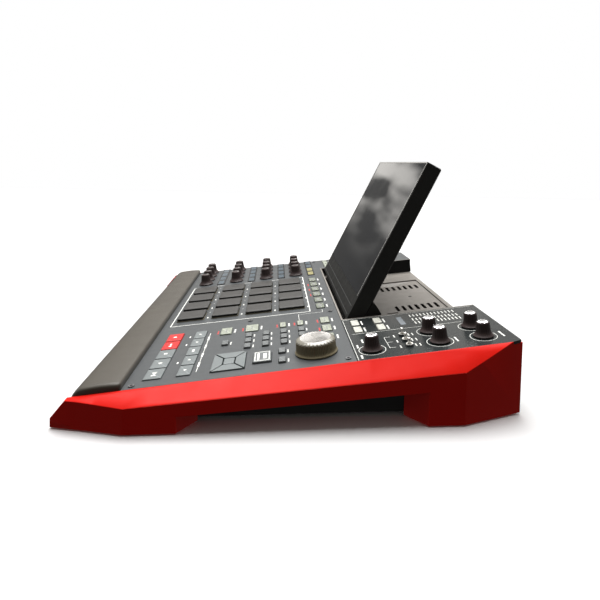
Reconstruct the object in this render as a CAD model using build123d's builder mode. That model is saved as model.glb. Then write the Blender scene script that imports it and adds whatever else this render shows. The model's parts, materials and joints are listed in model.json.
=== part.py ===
from build123d import *
import os
from math import cos, radians, sin, tan

# A desktop pad controller with a folding screen.  Millimetres, +X to the player's right, +Y to the
# rear, +Z up.  The origin is on the table, under the middle of the body.

os.makedirs("parts", exist_ok=True)

# ---- driving dimensions -------------------------------------------------------------------------
BODY_WIDTH = 505.4
BODY_DEPTH = 424.0
PANEL_SLOPE = 6.34          # the control panel rises to the rear by this angle
PANEL_HEIGHT = 49.14        # panel surface above the table, half way back
PANEL_HALF_WIDTH = 235.8
CORE_HALF_WIDTH = 230.8     # black tub between the two cheeks
SHEET = 3.0                 # panel thickness
WALL = 2.5                  # tub wall thickness
FOOT_PAD = 1.5              # rubber under each cheek foot

REST_REAR = -154.6          # rear edge of the palm rest
SEAM_Y = 53.0               # where the front panel ends and the screen bay begins
REAR_Y = 210.0              # back face of the tub and the panels
KEY_GAP = 0.45              # clearance all round a key or pad in its window
KEY_DEPTH = 4.2             # how far a key reaches below the panel surface

BAY_LEFT, BAY_RIGHT = -167.0, 114.5
BAY_WALL = 2.0
BAY_DEPTH = 21.6            # floor of the screen bay below the panel surface
TROUGH_REAR = 106.0         # the hinge trough, deeper than the bay floor, ends here
TROUGH_FLOOR = 9.4

SCREEN_LENGTH = 205.0
SCREEN_WIDTH = 275.0
SCREEN_THICKNESS = 19.0
SCREEN_CENTRE_X = -26.5
SCREEN_ANGLE = 63.9         # raised screen, from horizontal
SCREEN_FOOT = (60.5, 54.7)  # lower front edge of the raised screen, as (Y, Z)
HINGE = (67.0, 45.7)        # hinge axis, as (Y, Z)
BARREL_RADIUS = 4.9
HINGE_PIN_RADIUS = 3.0
DRUM_RADIUS = 37.0          # curved fairing behind the screen, centred on the hinge

PAD_SIZE = 32.0
PAD_PITCH = 41.5
PAD_CENTRES_X = [-86.5 + PAD_PITCH * column for column in range(4)]
PAD_CENTRES_Y = [-125.0 + PAD_PITCH * row for row in range(4)]
PAD_RISE = 4.0

ENCODER_CENTRES_X = [-222.0 + 28.0 * column for column in range(4)]
ENCODER_CENTRES_Y = [-131.5 + 47.7 * row for row in range(4)]
ENCODER_RADIUS = 10.9
ENCODER_HEIGHT = 16.6

DIAL_CENTRE = (202.0, 18.5)
DIAL_RADIUS = 20.8
DIAL_HEIGHT = 14.8

LEVEL_KNOBS = [(214.0, 71.0), (214.0, 137.5), (184.0, 136.0), (214.0, 181.0), (184.0, 180.0)]
LEVEL_RADIUS = 10.0
LEVEL_HEIGHT = 15.7

TOGGLES = [(186.0, 107.0), (200.5, 107.0), (215.0, 107.0)]

# Key lists hold (centre x, centre y, width, depth); one height for each bank.
TRANSPORT_X = [112.7 + 24.4 * column for column in range(5)]
TRANSPORT_KEYS = [(x, -131.5, 22.3, 16.3) for x in TRANSPORT_X]
TRANSPORT_KEYS += [(x, -104.0, 22.3, 12.5) for x in TRANSPORT_X]
TRANSPORT_RISE = 1.2

SMALL_X = [133.7, 149.6, 165.6]
SMALL_ROWS_Y = [-49.5, -31.0, -12.0, 7.3]
SMALL_KEYS = [(x, y, 11.5, 6.5) for y in SMALL_ROWS_Y for x in SMALL_X]
SMALL_KEYS += [(190.6, -14.5, 11.5, 6.5), (213.9, -14.5, 11.5, 6.5), (149.9, -73.3, 11.5, 6.5)]
SMALL_KEYS += [(201.5, -33.3, 25.0, 17.5)]
SMALL_RISE = 2.2

FUNCTION_X = [-91.0 + 28.6 * column for column in range(6)] + [110.5, 138.5, 166.5]
PALE_KEYS = [(x, 35.0, 19.0, 10.0) for x in FUNCTION_X]
PALE_KEYS += [(111.0, 7.0, 15.0, 6.7), (111.0, -12.6, 15.0, 6.7)]
PALE_KEYS += [(110.0, -47.3, 21.0, 14.0), (111.0, -75.7, 20.0, 12.0)]
PALE_KEYS += [(-220.0 + 14.0 * column, 66.0, 10.8, 8.0) for column in range(4)]
CHANNEL_KEYS = [(x, y, 17.0, 8.5) for y in (66.5, 91.5) for x in (134.2, 156.2)]
PALE_RISE = 1.4

CURSOR_CENTRE = (201.0, -64.7)
CURSOR_SIZE = (42.0, 31.0)
CURSOR_MIDDLE = (14.0, 10.0)
CURSOR_RISE = 1.4
CURSOR_SLIT = 1.2
CURSOR_CLEARING = (CURSOR_MIDDLE[0] + 2 * CURSOR_SLIT, CURSOR_MIDDLE[1] + 2 * CURSOR_SLIT)
CURSOR_SLIT_ANGLE = 36.4    # of the diagonal slits that part the four arrow keys

STRIP_WIDTH, STRIP_DEPTH, STRIP_RISE = 110.0, 12.0, 0.8
STRIP_CENTRE_X = -180.0
STRIP_CENTRES_Y = [y + 24.0 for y in ENCODER_CENTRES_Y]

PANEL_SCREWS = [(228.0, 46.0), (230.0, -146.5), (77.5, 45.0), (80.7, -50.7)]
PANEL_SCREWS += [(-228.0, 47.5), (-230.0, -148.0)]

# ---- working planes -----------------------------------------------------------------------------
SLOPE = radians(PANEL_SLOPE)
PANEL_NORMAL = (0, -sin(SLOPE), cos(SLOPE))
PANEL = Plane(origin=(0, 0, PANEL_HEIGHT), x_dir=(1, 0, 0), z_dir=PANEL_NORMAL)
TILT = radians(SCREEN_ANGLE)
SCREEN_FRONT = (0, -sin(TILT), cos(TILT))
SCREEN = Plane(origin=(SCREEN_CENTRE_X, *SCREEN_FOOT), x_dir=(1, 0, 0), z_dir=SCREEN_FRONT)


def panel_z(y):
    """Height of the panel surface above the table at a distance y from the middle."""
    return PANEL_HEIGHT + y * tan(SLOPE)


def along(y):
    """Distance up the sloping panel for a level distance y."""
    return y / cos(SLOPE)


def spot(x, y):
    """Panel surface point with the panel's normal as its Z."""
    return Plane(origin=(x, y, panel_z(y)), x_dir=(1, 0, 0), z_dir=PANEL_NORMAL)


def upright(x, y):
    """Plane through a panel spot that holds a turned profile: X is the radius, Y the height."""
    return Plane(origin=(x, y, panel_z(y)), x_dir=(1, 0, 0), z_dir=(0, -cos(SLOPE), -sin(SLOPE)))


def save(builder, name):
    builder.part.label = name
    export_step(builder.part, f"parts/{name}.step")


def turned(x, y, outline):
    """A piece turned about the panel normal, from (radius, height) points."""
    with BuildPart() as piece:
        with BuildSketch(upright(x, y)):
            with BuildLine():
                Polyline(*outline, close=True)
            make_face()
        revolve(axis=Axis((x, y, panel_z(y)), PANEL_NORMAL))
    return piece


def key_bank(keys, rise, edge):
    """Loose key caps with softened top edges, standing through their windows."""
    with BuildPart() as bank:
        with BuildSketch(PANEL.offset(-KEY_DEPTH)):
            for x, y, width, depth in keys:
                with Locations((x, along(y))):
                    RectangleRounded(width, depth, 0.9)
        extrude(amount=KEY_DEPTH + rise)
        tops = bank.faces().group_by(Axis((0, 0, 0), PANEL_NORMAL))[-1]
        fillet(tops.edges(), edge)
    return bank


def windows(keys):
    """Window outlines on the panel surface for a list of keys."""
    with BuildSketch(PANEL) as outlines:
        for x, y, width, depth in keys:
            with Locations((x, along(y))):
                Rectangle(width + 2 * KEY_GAP, depth + 2 * KEY_GAP)
    return outlines.sketch


def holes(centres, radius):
    """Round hole outlines on the panel surface."""
    with BuildSketch(PANEL) as outlines:
        with Locations(*[(x, along(y)) for x, y in centres]):
            Circle(radius)
    return outlines.sketch


# ---- bottom case: a tub with a sloping rim, open above ------------------------------------------
CASE_FLOOR = 5.0
CABLE_SPACE = 12.5          # extra depth of the cut in the rear wall, below the bay
POST_RADIUS = 4.0
SLOT_FIELD_Y = 160.0        # middle of the cooling slots in the floor
COOLING_SLOT = (22.0, 4.0)
CASE_FRONT = -189.0
BOARD_SIZE = (380.0, 170.0, 1.6)
BOARD_CENTRE_Y = -55.0
BOARD_Z = 11.5
rim_front = panel_z(REST_REAR + 1) - SHEET / cos(SLOPE)
rim_rear = panel_z(REAR_Y) - SHEET / cos(SLOPE)
with BuildPart() as bottom_case:
    with BuildSketch(Plane.YZ.offset(-CORE_HALF_WIDTH)):
        with BuildLine():
            Polyline(
                (CASE_FRONT, CASE_FLOOR),
                (REAR_Y, CASE_FLOOR),
                (REAR_Y, rim_rear),
                (REST_REAR + 1, rim_front),
                (REST_REAR + 1, CASE_FLOOR + WALL),
                (CASE_FRONT, CASE_FLOOR + WALL),
                close=True,
            )
        make_face()
    extrude(amount=2 * CORE_HALF_WIDTH)
    with BuildSketch(Plane.YZ.offset(-CORE_HALF_WIDTH + WALL)):
        with BuildLine():
            Polyline(
                (REST_REAR + 1 + WALL, CASE_FLOOR + WALL),
                (REAR_Y - WALL, CASE_FLOOR + WALL),
                (REAR_Y - WALL, rim_rear + 20),
                (REST_REAR + 1 + WALL, rim_rear + 20),
                close=True,
            )
        make_face()
    extrude(amount=2 * (CORE_HALF_WIDTH - WALL), mode=Mode.SUBTRACT)
    # the rear wall is cut down behind the screen bay
    with BuildSketch(Plane.XZ.offset(-REAR_Y)):
        with Locations(((BAY_LEFT + BAY_RIGHT) / 2, panel_z(REAR_Y) + 10)):
            Rectangle(
                BAY_RIGHT - BAY_LEFT + 2 * BAY_WALL + 0.4,
                2 * (BAY_DEPTH + BAY_WALL + CABLE_SPACE),
            )
    extrude(amount=WALL, mode=Mode.SUBTRACT)
    # posts under the circuit board
    with BuildSketch(Plane.XY.offset(CASE_FLOOR + WALL)):
        with Locations((0, BOARD_CENTRE_Y)):
            with GridLocations(BOARD_SIZE[0] / 2 - 15, BOARD_SIZE[1] - 20, 3, 2):
                Circle(POST_RADIUS)
    extrude(amount=BOARD_Z - CASE_FLOOR - WALL)
    # cooling slots in the floor
    with BuildSketch(Plane.XY.offset(CASE_FLOOR)):
        with Locations((0, SLOT_FIELD_Y)):
            with GridLocations(12, 40, 20, 2):
                SlotOverall(*COOLING_SLOT, rotation=90)
    extrude(amount=WALL, mode=Mode.SUBTRACT)
save(bottom_case, "bottom_case")

# ---- top panel: sloping sheet with a window for every control -----------------------------------
PAD_WINDOWS = [(x, y, PAD_SIZE, PAD_SIZE) for x in PAD_CENTRES_X for y in PAD_CENTRES_Y]
SHAFT_HOLE = 3.6
CORNER_CUT_Y = 201.5
CORNER_X = 233.1
with BuildPart() as top_panel:
    with BuildSketch(PANEL):
        with BuildLine():
            Polyline(
                (-PANEL_HALF_WIDTH, along(REST_REAR + 0.4)),
                (PANEL_HALF_WIDTH, along(REST_REAR + 0.4)),
                (PANEL_HALF_WIDTH, along(SEAM_Y)),
                (BAY_LEFT - BAY_WALL - 0.2, along(SEAM_Y)),
                (BAY_LEFT - BAY_WALL - 0.2, along(REAR_Y)),
                (-CORNER_X, along(REAR_Y)),
                (-PANEL_HALF_WIDTH, along(CORNER_CUT_Y)),
                close=True,
            )
        make_face()
    extrude(amount=-SHEET)
    for keys in (PAD_WINDOWS, TRANSPORT_KEYS, SMALL_KEYS, PALE_KEYS, [(*CURSOR_CENTRE, *CURSOR_SIZE)]):
        extrude(windows(keys), amount=-SHEET, mode=Mode.SUBTRACT)
    for centres in ([(x, y) for x in ENCODER_CENTRES_X for y in ENCODER_CENTRES_Y], [DIAL_CENTRE]):
        extrude(holes(centres, SHAFT_HOLE), amount=-SHEET, mode=Mode.SUBTRACT)
save(top_panel, "top_panel")

# ---- audio panel: glossy sheet with the level knobs ---------------------------------------------
AUDIO_LEFT = BAY_RIGHT + BAY_WALL + 0.2
TOGGLE_HOLE = 2.6
with BuildPart() as audio_panel:
    with BuildSketch(PANEL):
        with BuildLine():
            Polyline(
                (AUDIO_LEFT, along(SEAM_Y + 0.3)),
                (PANEL_HALF_WIDTH, along(SEAM_Y + 0.3)),
                (PANEL_HALF_WIDTH, along(CORNER_CUT_Y)),
                (CORNER_X, along(REAR_Y)),
                (AUDIO_LEFT, along(REAR_Y)),
                close=True,
            )
        make_face()
    extrude(amount=-SHEET)
    extrude(windows(CHANNEL_KEYS), amount=-SHEET, mode=Mode.SUBTRACT)
    extrude(holes(LEVEL_KNOBS, SHAFT_HOLE), amount=-SHEET, mode=Mode.SUBTRACT)
    extrude(holes(TOGGLES, TOGGLE_HOLE), amount=-SHEET, mode=Mode.SUBTRACT)
save(audio_panel, "audio_panel")

# ---- screen bay: tray with a hinge trough in front and a vented floor behind --------------------
KNUCKLES_X = [-150.0, 85.0]
KNUCKLE_WIDTH = 12.0
TROUGH_SKIN = 1.8
ABOVE_ALL = 120.0           # height clear of every piece, for cuts that are open above
VENT_CENTRE = (-29.0, 156.0)
VENT_FIELD = (160.0, 92.0)
VENT_SINK = 1.8             # the vented field lies this far below the bay floor
VENT_CUT = 4.0
VENT_SLOT = (22.0, 4.2)
LATCH_CENTRE = (44.0, 129.0)
LATCH_SIZE = (9.0, 15.0)
VENT_SLOT_PITCH = 9.0
VENT_COLUMNS = [(25.5, 166.0), (-75.5, 166.0)]
PIN_CLEARANCE = 0.06
BAY_UNDERSIDE = BAY_DEPTH + VENT_SINK + BAY_WALL
bay_front = SEAM_Y + 0.5
with BuildPart() as screen_well:
    with BuildSketch(Plane.YZ.offset(BAY_LEFT - BAY_WALL)):
        with BuildLine():
            Polyline(
                (bay_front, panel_z(bay_front)),
                (bay_front, TROUGH_FLOOR - TROUGH_SKIN),
                (TROUGH_REAR + BAY_WALL, TROUGH_FLOOR - TROUGH_SKIN),
                (TROUGH_REAR + BAY_WALL, panel_z(TROUGH_REAR + BAY_WALL) - BAY_UNDERSIDE),
                (REAR_Y, panel_z(REAR_Y) - BAY_UNDERSIDE),
                (REAR_Y, panel_z(REAR_Y)),
                close=True,
            )
        make_face()
    extrude(amount=BAY_RIGHT - BAY_LEFT + 2 * BAY_WALL)
    with BuildSketch(Plane.YZ.offset(BAY_LEFT)):
        with BuildLine():
            Polyline(
                (bay_front + BAY_WALL, ABOVE_ALL),
                (bay_front + BAY_WALL, TROUGH_FLOOR),
                (TROUGH_REAR, TROUGH_FLOOR),
                (TROUGH_REAR, panel_z(TROUGH_REAR) - BAY_DEPTH),
                (REAR_Y + 1, panel_z(REAR_Y + 1) - BAY_DEPTH),
                (REAR_Y + 1, ABOVE_ALL),
                close=True,
            )
        make_face()
    extrude(amount=BAY_RIGHT - BAY_LEFT, mode=Mode.SUBTRACT)
    # sunken field in the floor, with cooling slots and the latch opening
    with BuildSketch(PANEL.offset(-BAY_DEPTH * cos(SLOPE))):
        with Locations((VENT_CENTRE[0], along(VENT_CENTRE[1]))):
            RectangleRounded(*VENT_FIELD, 3)
    extrude(amount=-VENT_SINK, mode=Mode.SUBTRACT)
    with BuildSketch(PANEL.offset(-BAY_DEPTH * cos(SLOPE) - VENT_SINK)):
        with Locations(*[(x, along(y)) for x, y in VENT_COLUMNS]):
            with GridLocations(VENT_SLOT[0], VENT_SLOT_PITCH, 1, 7):
                SlotOverall(*VENT_SLOT)
        with Locations((LATCH_CENTRE[0], along(LATCH_CENTRE[1]))):
            RectangleRounded(*LATCH_SIZE, 1.5)
    extrude(amount=-VENT_CUT, mode=Mode.SUBTRACT)
    # hinge arms reach back from the front wall and carry the pin
    for knuckle_x in KNUCKLES_X:
        with BuildSketch(Plane.YZ.offset(knuckle_x)):
            with BuildLine():
                Polyline(
                    (bay_front + 1, HINGE[1] - BARREL_RADIUS),
                    (HINGE[0], HINGE[1] - BARREL_RADIUS),
                    (HINGE[0], HINGE[1]),
                    (bay_front + 1, HINGE[1]),
                    close=True,
                )
            make_face()
            with Locations(HINGE):
                Circle(BARREL_RADIUS)
                Circle(HINGE_PIN_RADIUS + PIN_CLEARANCE, mode=Mode.SUBTRACT)
        extrude(amount=KNUCKLE_WIDTH)
save(screen_well, "screen_well")

# ---- cheeks: tapered side pieces with a bevelled top, a nose, two feet and an arch ---------------
CHEEK_INNER = CORE_HALF_WIDTH + 0.2
CHEEK_OUTER = BODY_WIDTH / 2
BEVEL_INNER = 236.0
HALF_DEPTH = BODY_DEPTH / 2
FACET_FRONT_Y, FACET_REAR_Y = -148.0, 150.0
NOSE_KNEE = (241.7, -188.8)   # plan corner between the nose and its facet
NOSE_TOP = (-197.5, 27.6)     # the nose slopes down from here, as (Y, Z)
NOSE_TIP = (-213.0, 8.0)
SHOULDER_FRONT, SHOULDER_REAR = 18.0, 55.0   # height of the bevel's outer edge at each end
ARCH_FRONT, ARCH_REAR = (-103.5, -88.0), (116.8, 98.0)   # arch ends, outside then inside
ARCH_LOW, ARCH_HIGH = 15.5, 31.8             # arch height above the front and the rear foot


def cheek_section(y, shoulder):
    """Cross-section of the cheek at one end of the body."""
    with BuildSketch(Plane.XZ.offset(-y)) as section:
        with BuildLine():
            Polyline(
                (CHEEK_INNER, FOOT_PAD),
                (CHEEK_OUTER, FOOT_PAD),
                (CHEEK_OUTER, shoulder),
                (BEVEL_INNER, panel_z(y)),
                (BEVEL_INNER, panel_z(y) - SHEET - 0.2),
                (CHEEK_INNER, panel_z(y) - SHEET - 0.2),
                close=True,
            )
        make_face()
    return section.sketch


ARCH_CORNERS = [
    (-130.0, -1.0),
    (140.0, -1.0),
    (140.0, ARCH_HIGH + 1.7),
    (-130.0, ARCH_LOW - 1.9),
]
with BuildPart() as arch:
    with BuildSketch(Plane.XY):
        with BuildLine():
            Polyline(
                (CHEEK_OUTER + 5, ARCH_FRONT[0] - 4),
                (CHEEK_INNER - 1, ARCH_FRONT[1]),
                (CHEEK_INNER - 1, ARCH_REAR[1]),
                (CHEEK_OUTER + 5, ARCH_REAR[0] + 4),
                close=True,
            )
        make_face()
    extrude(amount=ABOVE_ALL)
    with BuildSketch(Plane.YZ.offset(CHEEK_INNER - 2)):
        with BuildLine():
            Polyline(*ARCH_CORNERS, close=True)
        make_face()
    extrude(amount=40, mode=Mode.INTERSECT)

with BuildPart() as right_cheek:
    ends = [cheek_section(-HALF_DEPTH, SHOULDER_FRONT), cheek_section(HALF_DEPTH, SHOULDER_REAR)]
    loft(ends, ruled=True)
    with BuildSketch(Plane.XY):
        with BuildLine():
            Polyline(
                (CHEEK_INNER, -HALF_DEPTH),
                (BEVEL_INNER + 0.4, -HALF_DEPTH),
                NOSE_KNEE,
                (CHEEK_OUTER, FACET_FRONT_Y),
                (CHEEK_OUTER, FACET_REAR_Y),
                (CORNER_X - 0.6, HALF_DEPTH),
                (CHEEK_INNER, HALF_DEPTH),
                close=True,
            )
        make_face()
    extrude(amount=ABOVE_ALL, mode=Mode.INTERSECT)
    add(arch.part, mode=Mode.SUBTRACT)
    with BuildSketch(Plane.YZ.offset(CHEEK_INNER)):
        with BuildLine():
            Polyline(NOSE_TIP, NOSE_TOP, (NOSE_TOP[0], ABOVE_ALL), (NOSE_TIP[0], ABOVE_ALL), close=True)
        make_face()
    extrude(amount=CHEEK_OUTER - CHEEK_INNER, mode=Mode.SUBTRACT)
save(right_cheek, "right_cheek")

with BuildPart() as left_cheek:
    mirror(right_cheek.part, about=Plane.YZ)
save(left_cheek, "left_cheek")

# ---- palm rest: padded bar across the front -----------------------------------------------------
REST_BOTTOM = CASE_FLOOR + WALL + 0.1
REST_BACK_TOP = (REST_REAR, 36.2)
REST_CREST = (-156.6, 37.8)
REST_SHOULDER = (-184.0, 34.9)
REST_NOSE = (-197.0, 20.0)
REST_TOE = (-193.5, REST_BOTTOM)
LIP_FRONT_Y = -193.0        # the lips over the cheek ledges end here
LIP_THICKNESS = 2.0
with BuildPart() as wrist_rest:
    with BuildSketch(Plane.YZ.offset(-CORE_HALF_WIDTH)):
        with BuildLine():
            Line((REST_REAR, REST_BOTTOM), REST_BACK_TOP)
            ThreePointArc(REST_BACK_TOP, (-155.3, 37.3), REST_CREST)
            ThreePointArc(REST_CREST, (-170.5, 37.1), REST_SHOULDER)
            ThreePointArc(REST_SHOULDER, (-192.2, 29.4), REST_NOSE)
            Line(REST_NOSE, REST_TOE)
            Line(REST_TOE, (REST_REAR, REST_BOTTOM))
        make_face()
    extrude(amount=2 * CORE_HALF_WIDTH)
    # the top part runs out over the cheek ledges
    with BuildSketch(Plane.YZ.offset(-PANEL_HALF_WIDTH)):
        with BuildLine():
            lip_back_low = (REST_REAR, panel_z(REST_REAR))
            lip_front_low = (LIP_FRONT_Y, panel_z(LIP_FRONT_Y))
            lip_front_top = (LIP_FRONT_Y, panel_z(LIP_FRONT_Y) + LIP_THICKNESS)
            Line(lip_back_low, REST_BACK_TOP)
            ThreePointArc(REST_BACK_TOP, (-155.3, 37.3), REST_CREST)
            ThreePointArc(REST_CREST, (-170.5, 37.1), REST_SHOULDER)
            Line(REST_SHOULDER, lip_front_top)
            Line(lip_front_top, lip_front_low)
            Line(lip_front_low, lip_back_low)
        make_face()
    extrude(amount=2 * PANEL_HALF_WIDTH)
save(wrist_rest, "wrist_rest")

# ---- rubber feet under the four cheek feet ------------------------------------------------------
FOOT_X = 242.0
FOOT_CENTRES_Y = (-132.0, 137.0)
with BuildPart() as rubber_feet:
    with BuildSketch(Plane.XY):
        for side in (-1, 1):
            with Locations(*[(side * FOOT_X, y) for y in FOOT_CENTRES_Y]):
                RectangleRounded(14, 30, 3)
    extrude(amount=FOOT_PAD)
save(rubber_feet, "rubber_feet")

# ---- screws in the panels and the threaded collars of the toggles -------------------------------
SCREW_RADIUS, SCREW_RISE = 2.7, 1.0
SCREW_DRIVE_RADIUS, SCREW_DRIVE_DEPTH = 1.35, 0.7
NUT_RADIUS, NUT_RISE = 4.0, 1.6
with BuildPart() as panel_fasteners:
    for x, y in PANEL_SCREWS:
        with BuildSketch(spot(x, y)):
            Circle(SCREW_RADIUS)
        extrude(amount=SCREW_RISE)
        with BuildSketch(spot(x, y).offset(SCREW_RISE)):
            RegularPolygon(SCREW_DRIVE_RADIUS, 6)
        extrude(amount=-SCREW_DRIVE_DEPTH, mode=Mode.SUBTRACT)
    for x, y in TOGGLES:
        with BuildSketch(spot(x, y)):
            RegularPolygon(NUT_RADIUS, 6)
            Circle(TOGGLE_HOLE, mode=Mode.SUBTRACT)
        extrude(amount=NUT_RISE)
save(panel_fasteners, "panel_fasteners")

# ---- glass display strips behind each row of encoders -------------------------------------------
with BuildPart() as display_strips:
    with BuildSketch(PANEL):
        for y in STRIP_CENTRES_Y:
            with Locations((STRIP_CENTRE_X, along(y))):
                RectangleRounded(STRIP_WIDTH, STRIP_DEPTH, 1.2)
    extrude(amount=STRIP_RISE)
save(display_strips, "display_strips")

# ---- circuit boards: main board on its posts and the sensor board under the pads ----------------
SENSOR_SIZE = (168.0, 166.0)
SENSOR_CENTRE = (-24.2, -62.8)
SENSOR_DEPTH = 10.6         # below the panel surface
with BuildPart() as circuit_boards:
    with BuildSketch(Plane.XY.offset(BOARD_Z)):
        with Locations((0, BOARD_CENTRE_Y)):
            Rectangle(BOARD_SIZE[0], BOARD_SIZE[1])
    extrude(amount=BOARD_SIZE[2])
    with BuildSketch(PANEL.offset(-SENSOR_DEPTH)):
        with Locations((SENSOR_CENTRE[0], along(SENSOR_CENTRE[1]))):
            Rectangle(*SENSOR_SIZE)
    extrude(amount=BOARD_SIZE[2])
save(circuit_boards, "circuit_boards")

# ---- sockets in the rear wall -------------------------------------------------------------------
SOCKET_PITCH, SOCKET_Z = 15.5, 40.0
SOCKET_CENTRES = [(132.0 + SOCKET_PITCH * column, SOCKET_Z) for column in range(6)]
SOCKET_CENTRES += [(-220.0 + SOCKET_PITCH * column, SOCKET_Z) for column in range(4)]
SOCKET_RADIUS, SOCKET_RISE = 5.5, 1.6
BORE_RADIUS, BORE_DEPTH = 3.2, 1.2
with BuildPart() as rear_sockets:
    with BuildSketch(Plane.XZ.offset(-REAR_Y)):
        with Locations(*SOCKET_CENTRES):
            Circle(SOCKET_RADIUS)
    extrude(amount=-SOCKET_RISE)
    with BuildSketch(Plane.XZ.offset(-REAR_Y - SOCKET_RISE)):
        with Locations(*SOCKET_CENTRES):
            Circle(BORE_RADIUS)
    extrude(amount=BORE_DEPTH, mode=Mode.SUBTRACT)
save(rear_sockets, "rear_sockets")

# ---- screen: bezel frame, glass, back cover and hinge -------------------------------------------
BEZEL_DEPTH = 10.0
BEZEL_SIDE = 2.4
CHIN = 28.0                 # plain band below the glass
GLASS_INSET = 1.6
GLASS_CENTRE_Y = (SCREEN_LENGTH + CHIN) / 2
GLASS_LENGTH = SCREEN_LENGTH - CHIN - 3.0
GLASS_WIDTH = SCREEN_WIDTH - 6.0
GLASS_GAP = 0.3
BACK_BEVEL = 1.5
CORNER_RADIUS = 1.5
with BuildPart() as screen_frame:
    with BuildSketch(SCREEN):
        with Locations((0, SCREEN_LENGTH / 2)):
            RectangleRounded(SCREEN_WIDTH, SCREEN_LENGTH, CORNER_RADIUS)
    extrude(amount=-BEZEL_DEPTH)
    with BuildSketch(SCREEN):
        with Locations((0, GLASS_CENTRE_Y)):
            Rectangle(GLASS_WIDTH + 2 * GLASS_GAP, GLASS_LENGTH + 2 * GLASS_GAP)
    extrude(amount=-GLASS_INSET, mode=Mode.SUBTRACT)
    with BuildSketch(SCREEN.offset(-GLASS_INSET - BEZEL_SIDE)):
        with Locations((0, SCREEN_LENGTH / 2)):
            Rectangle(SCREEN_WIDTH - 2 * BEZEL_SIDE, SCREEN_LENGTH - 2 * BEZEL_SIDE)
    extrude(amount=-BEZEL_DEPTH, mode=Mode.SUBTRACT)
save(screen_frame, "screen_frame")

with BuildPart() as screen_glass:
    with BuildSketch(SCREEN.offset(-GLASS_INSET)):
        with Locations((0, GLASS_CENTRE_Y)):
            Rectangle(GLASS_WIDTH, GLASS_LENGTH)
    extrude(amount=GLASS_INSET - 0.2)
save(screen_glass, "screen_glass")

with BuildPart() as screen_back_cover:
    with BuildSketch(SCREEN.offset(-SCREEN_THICKNESS)):
        with Locations((0, SCREEN_LENGTH / 2)):
            RectangleRounded(SCREEN_WIDTH, SCREEN_LENGTH, CORNER_RADIUS)
    extrude(amount=SCREEN_THICKNESS - BEZEL_DEPTH)
    chamfer(screen_back_cover.faces().sort_by(Axis((0, 0, 0), SCREEN_FRONT))[0].edges(), BACK_BEVEL)
    with BuildSketch(SCREEN.offset(-SCREEN_THICKNESS + BEZEL_SIDE)):
        with Locations((0, SCREEN_LENGTH / 2)):
            Rectangle(SCREEN_WIDTH - 2 * BEZEL_SIDE, SCREEN_LENGTH - 2 * BEZEL_SIDE)
    extrude(amount=SCREEN_THICKNESS, mode=Mode.SUBTRACT)
save(screen_back_cover, "screen_back_cover")

# The drum behind the screen is a curved shell about the hinge axis, so it sinks into the trough as
# the screen folds.  Barrel pieces and the pin run between and through the fixed hinge arms.
DRUM_ANGLES = (-16.0, 49.3)
DRUM_HEEL = 20.0            # radius where the drum's lower edge begins
BARREL_END = 4.0            # the barrel stops this far short of the screen's sides
BARREL_GAP = 0.5
back_foot = (
    SCREEN_FOOT[0] - SCREEN_FRONT[1] * SCREEN_THICKNESS,
    SCREEN_FOOT[1] - SCREEN_FRONT[2] * SCREEN_THICKNESS,
)


def drum_point(radius, degrees_up):
    """Point about the hinge axis as (Y, Z)."""
    angle = radians(degrees_up)
    return (HINGE[0] + radius * cos(angle), HINGE[1] + radius * sin(angle))


SCREEN_LEFT = SCREEN_CENTRE_X - SCREEN_WIDTH / 2
SCREEN_RIGHT = SCREEN_CENTRE_X + SCREEN_WIDTH / 2
BARREL_SPANS = [
    (SCREEN_LEFT + BARREL_END, KNUCKLES_X[0] - BARREL_GAP),
    (KNUCKLES_X[0] + KNUCKLE_WIDTH + BARREL_GAP, KNUCKLES_X[1] - BARREL_GAP),
    (KNUCKLES_X[1] + KNUCKLE_WIDTH + BARREL_GAP, SCREEN_RIGHT - BARREL_END),
]
with BuildPart() as screen_hinge:
    with BuildSketch(Plane.YZ.offset(SCREEN_LEFT)):
        with BuildLine():
            inner_low = drum_point(DRUM_HEEL, DRUM_ANGLES[0])
            outer_low = drum_point(DRUM_RADIUS, DRUM_ANGLES[0])
            outer_mid = drum_point(DRUM_RADIUS, (DRUM_ANGLES[0] + DRUM_ANGLES[1]) / 2)
            outer_top = drum_point(DRUM_RADIUS, DRUM_ANGLES[1])
            Line(back_foot, inner_low)
            Line(inner_low, outer_low)
            ThreePointArc(outer_low, outer_mid, outer_top)
            Line(outer_top, back_foot)
        make_face()
    extrude(amount=SCREEN_WIDTH)
    for start, end in BARREL_SPANS:
        with BuildSketch(Plane.YZ.offset(start)):
            with Locations(HINGE):
                Circle(BARREL_RADIUS)
            with BuildLine():
                Polyline(HINGE, back_foot, inner_low, (HINGE[0], HINGE[1] - BARREL_RADIUS), close=True)
            make_face()
        extrude(amount=end - start)
    with BuildSketch(Plane.YZ.offset(SCREEN_LEFT + BARREL_END)):
        with Locations(HINGE):
            Circle(HINGE_PIN_RADIUS)
    extrude(amount=SCREEN_WIDTH - 2 * BARREL_END)
save(screen_hinge, "screen_hinge")

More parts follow.
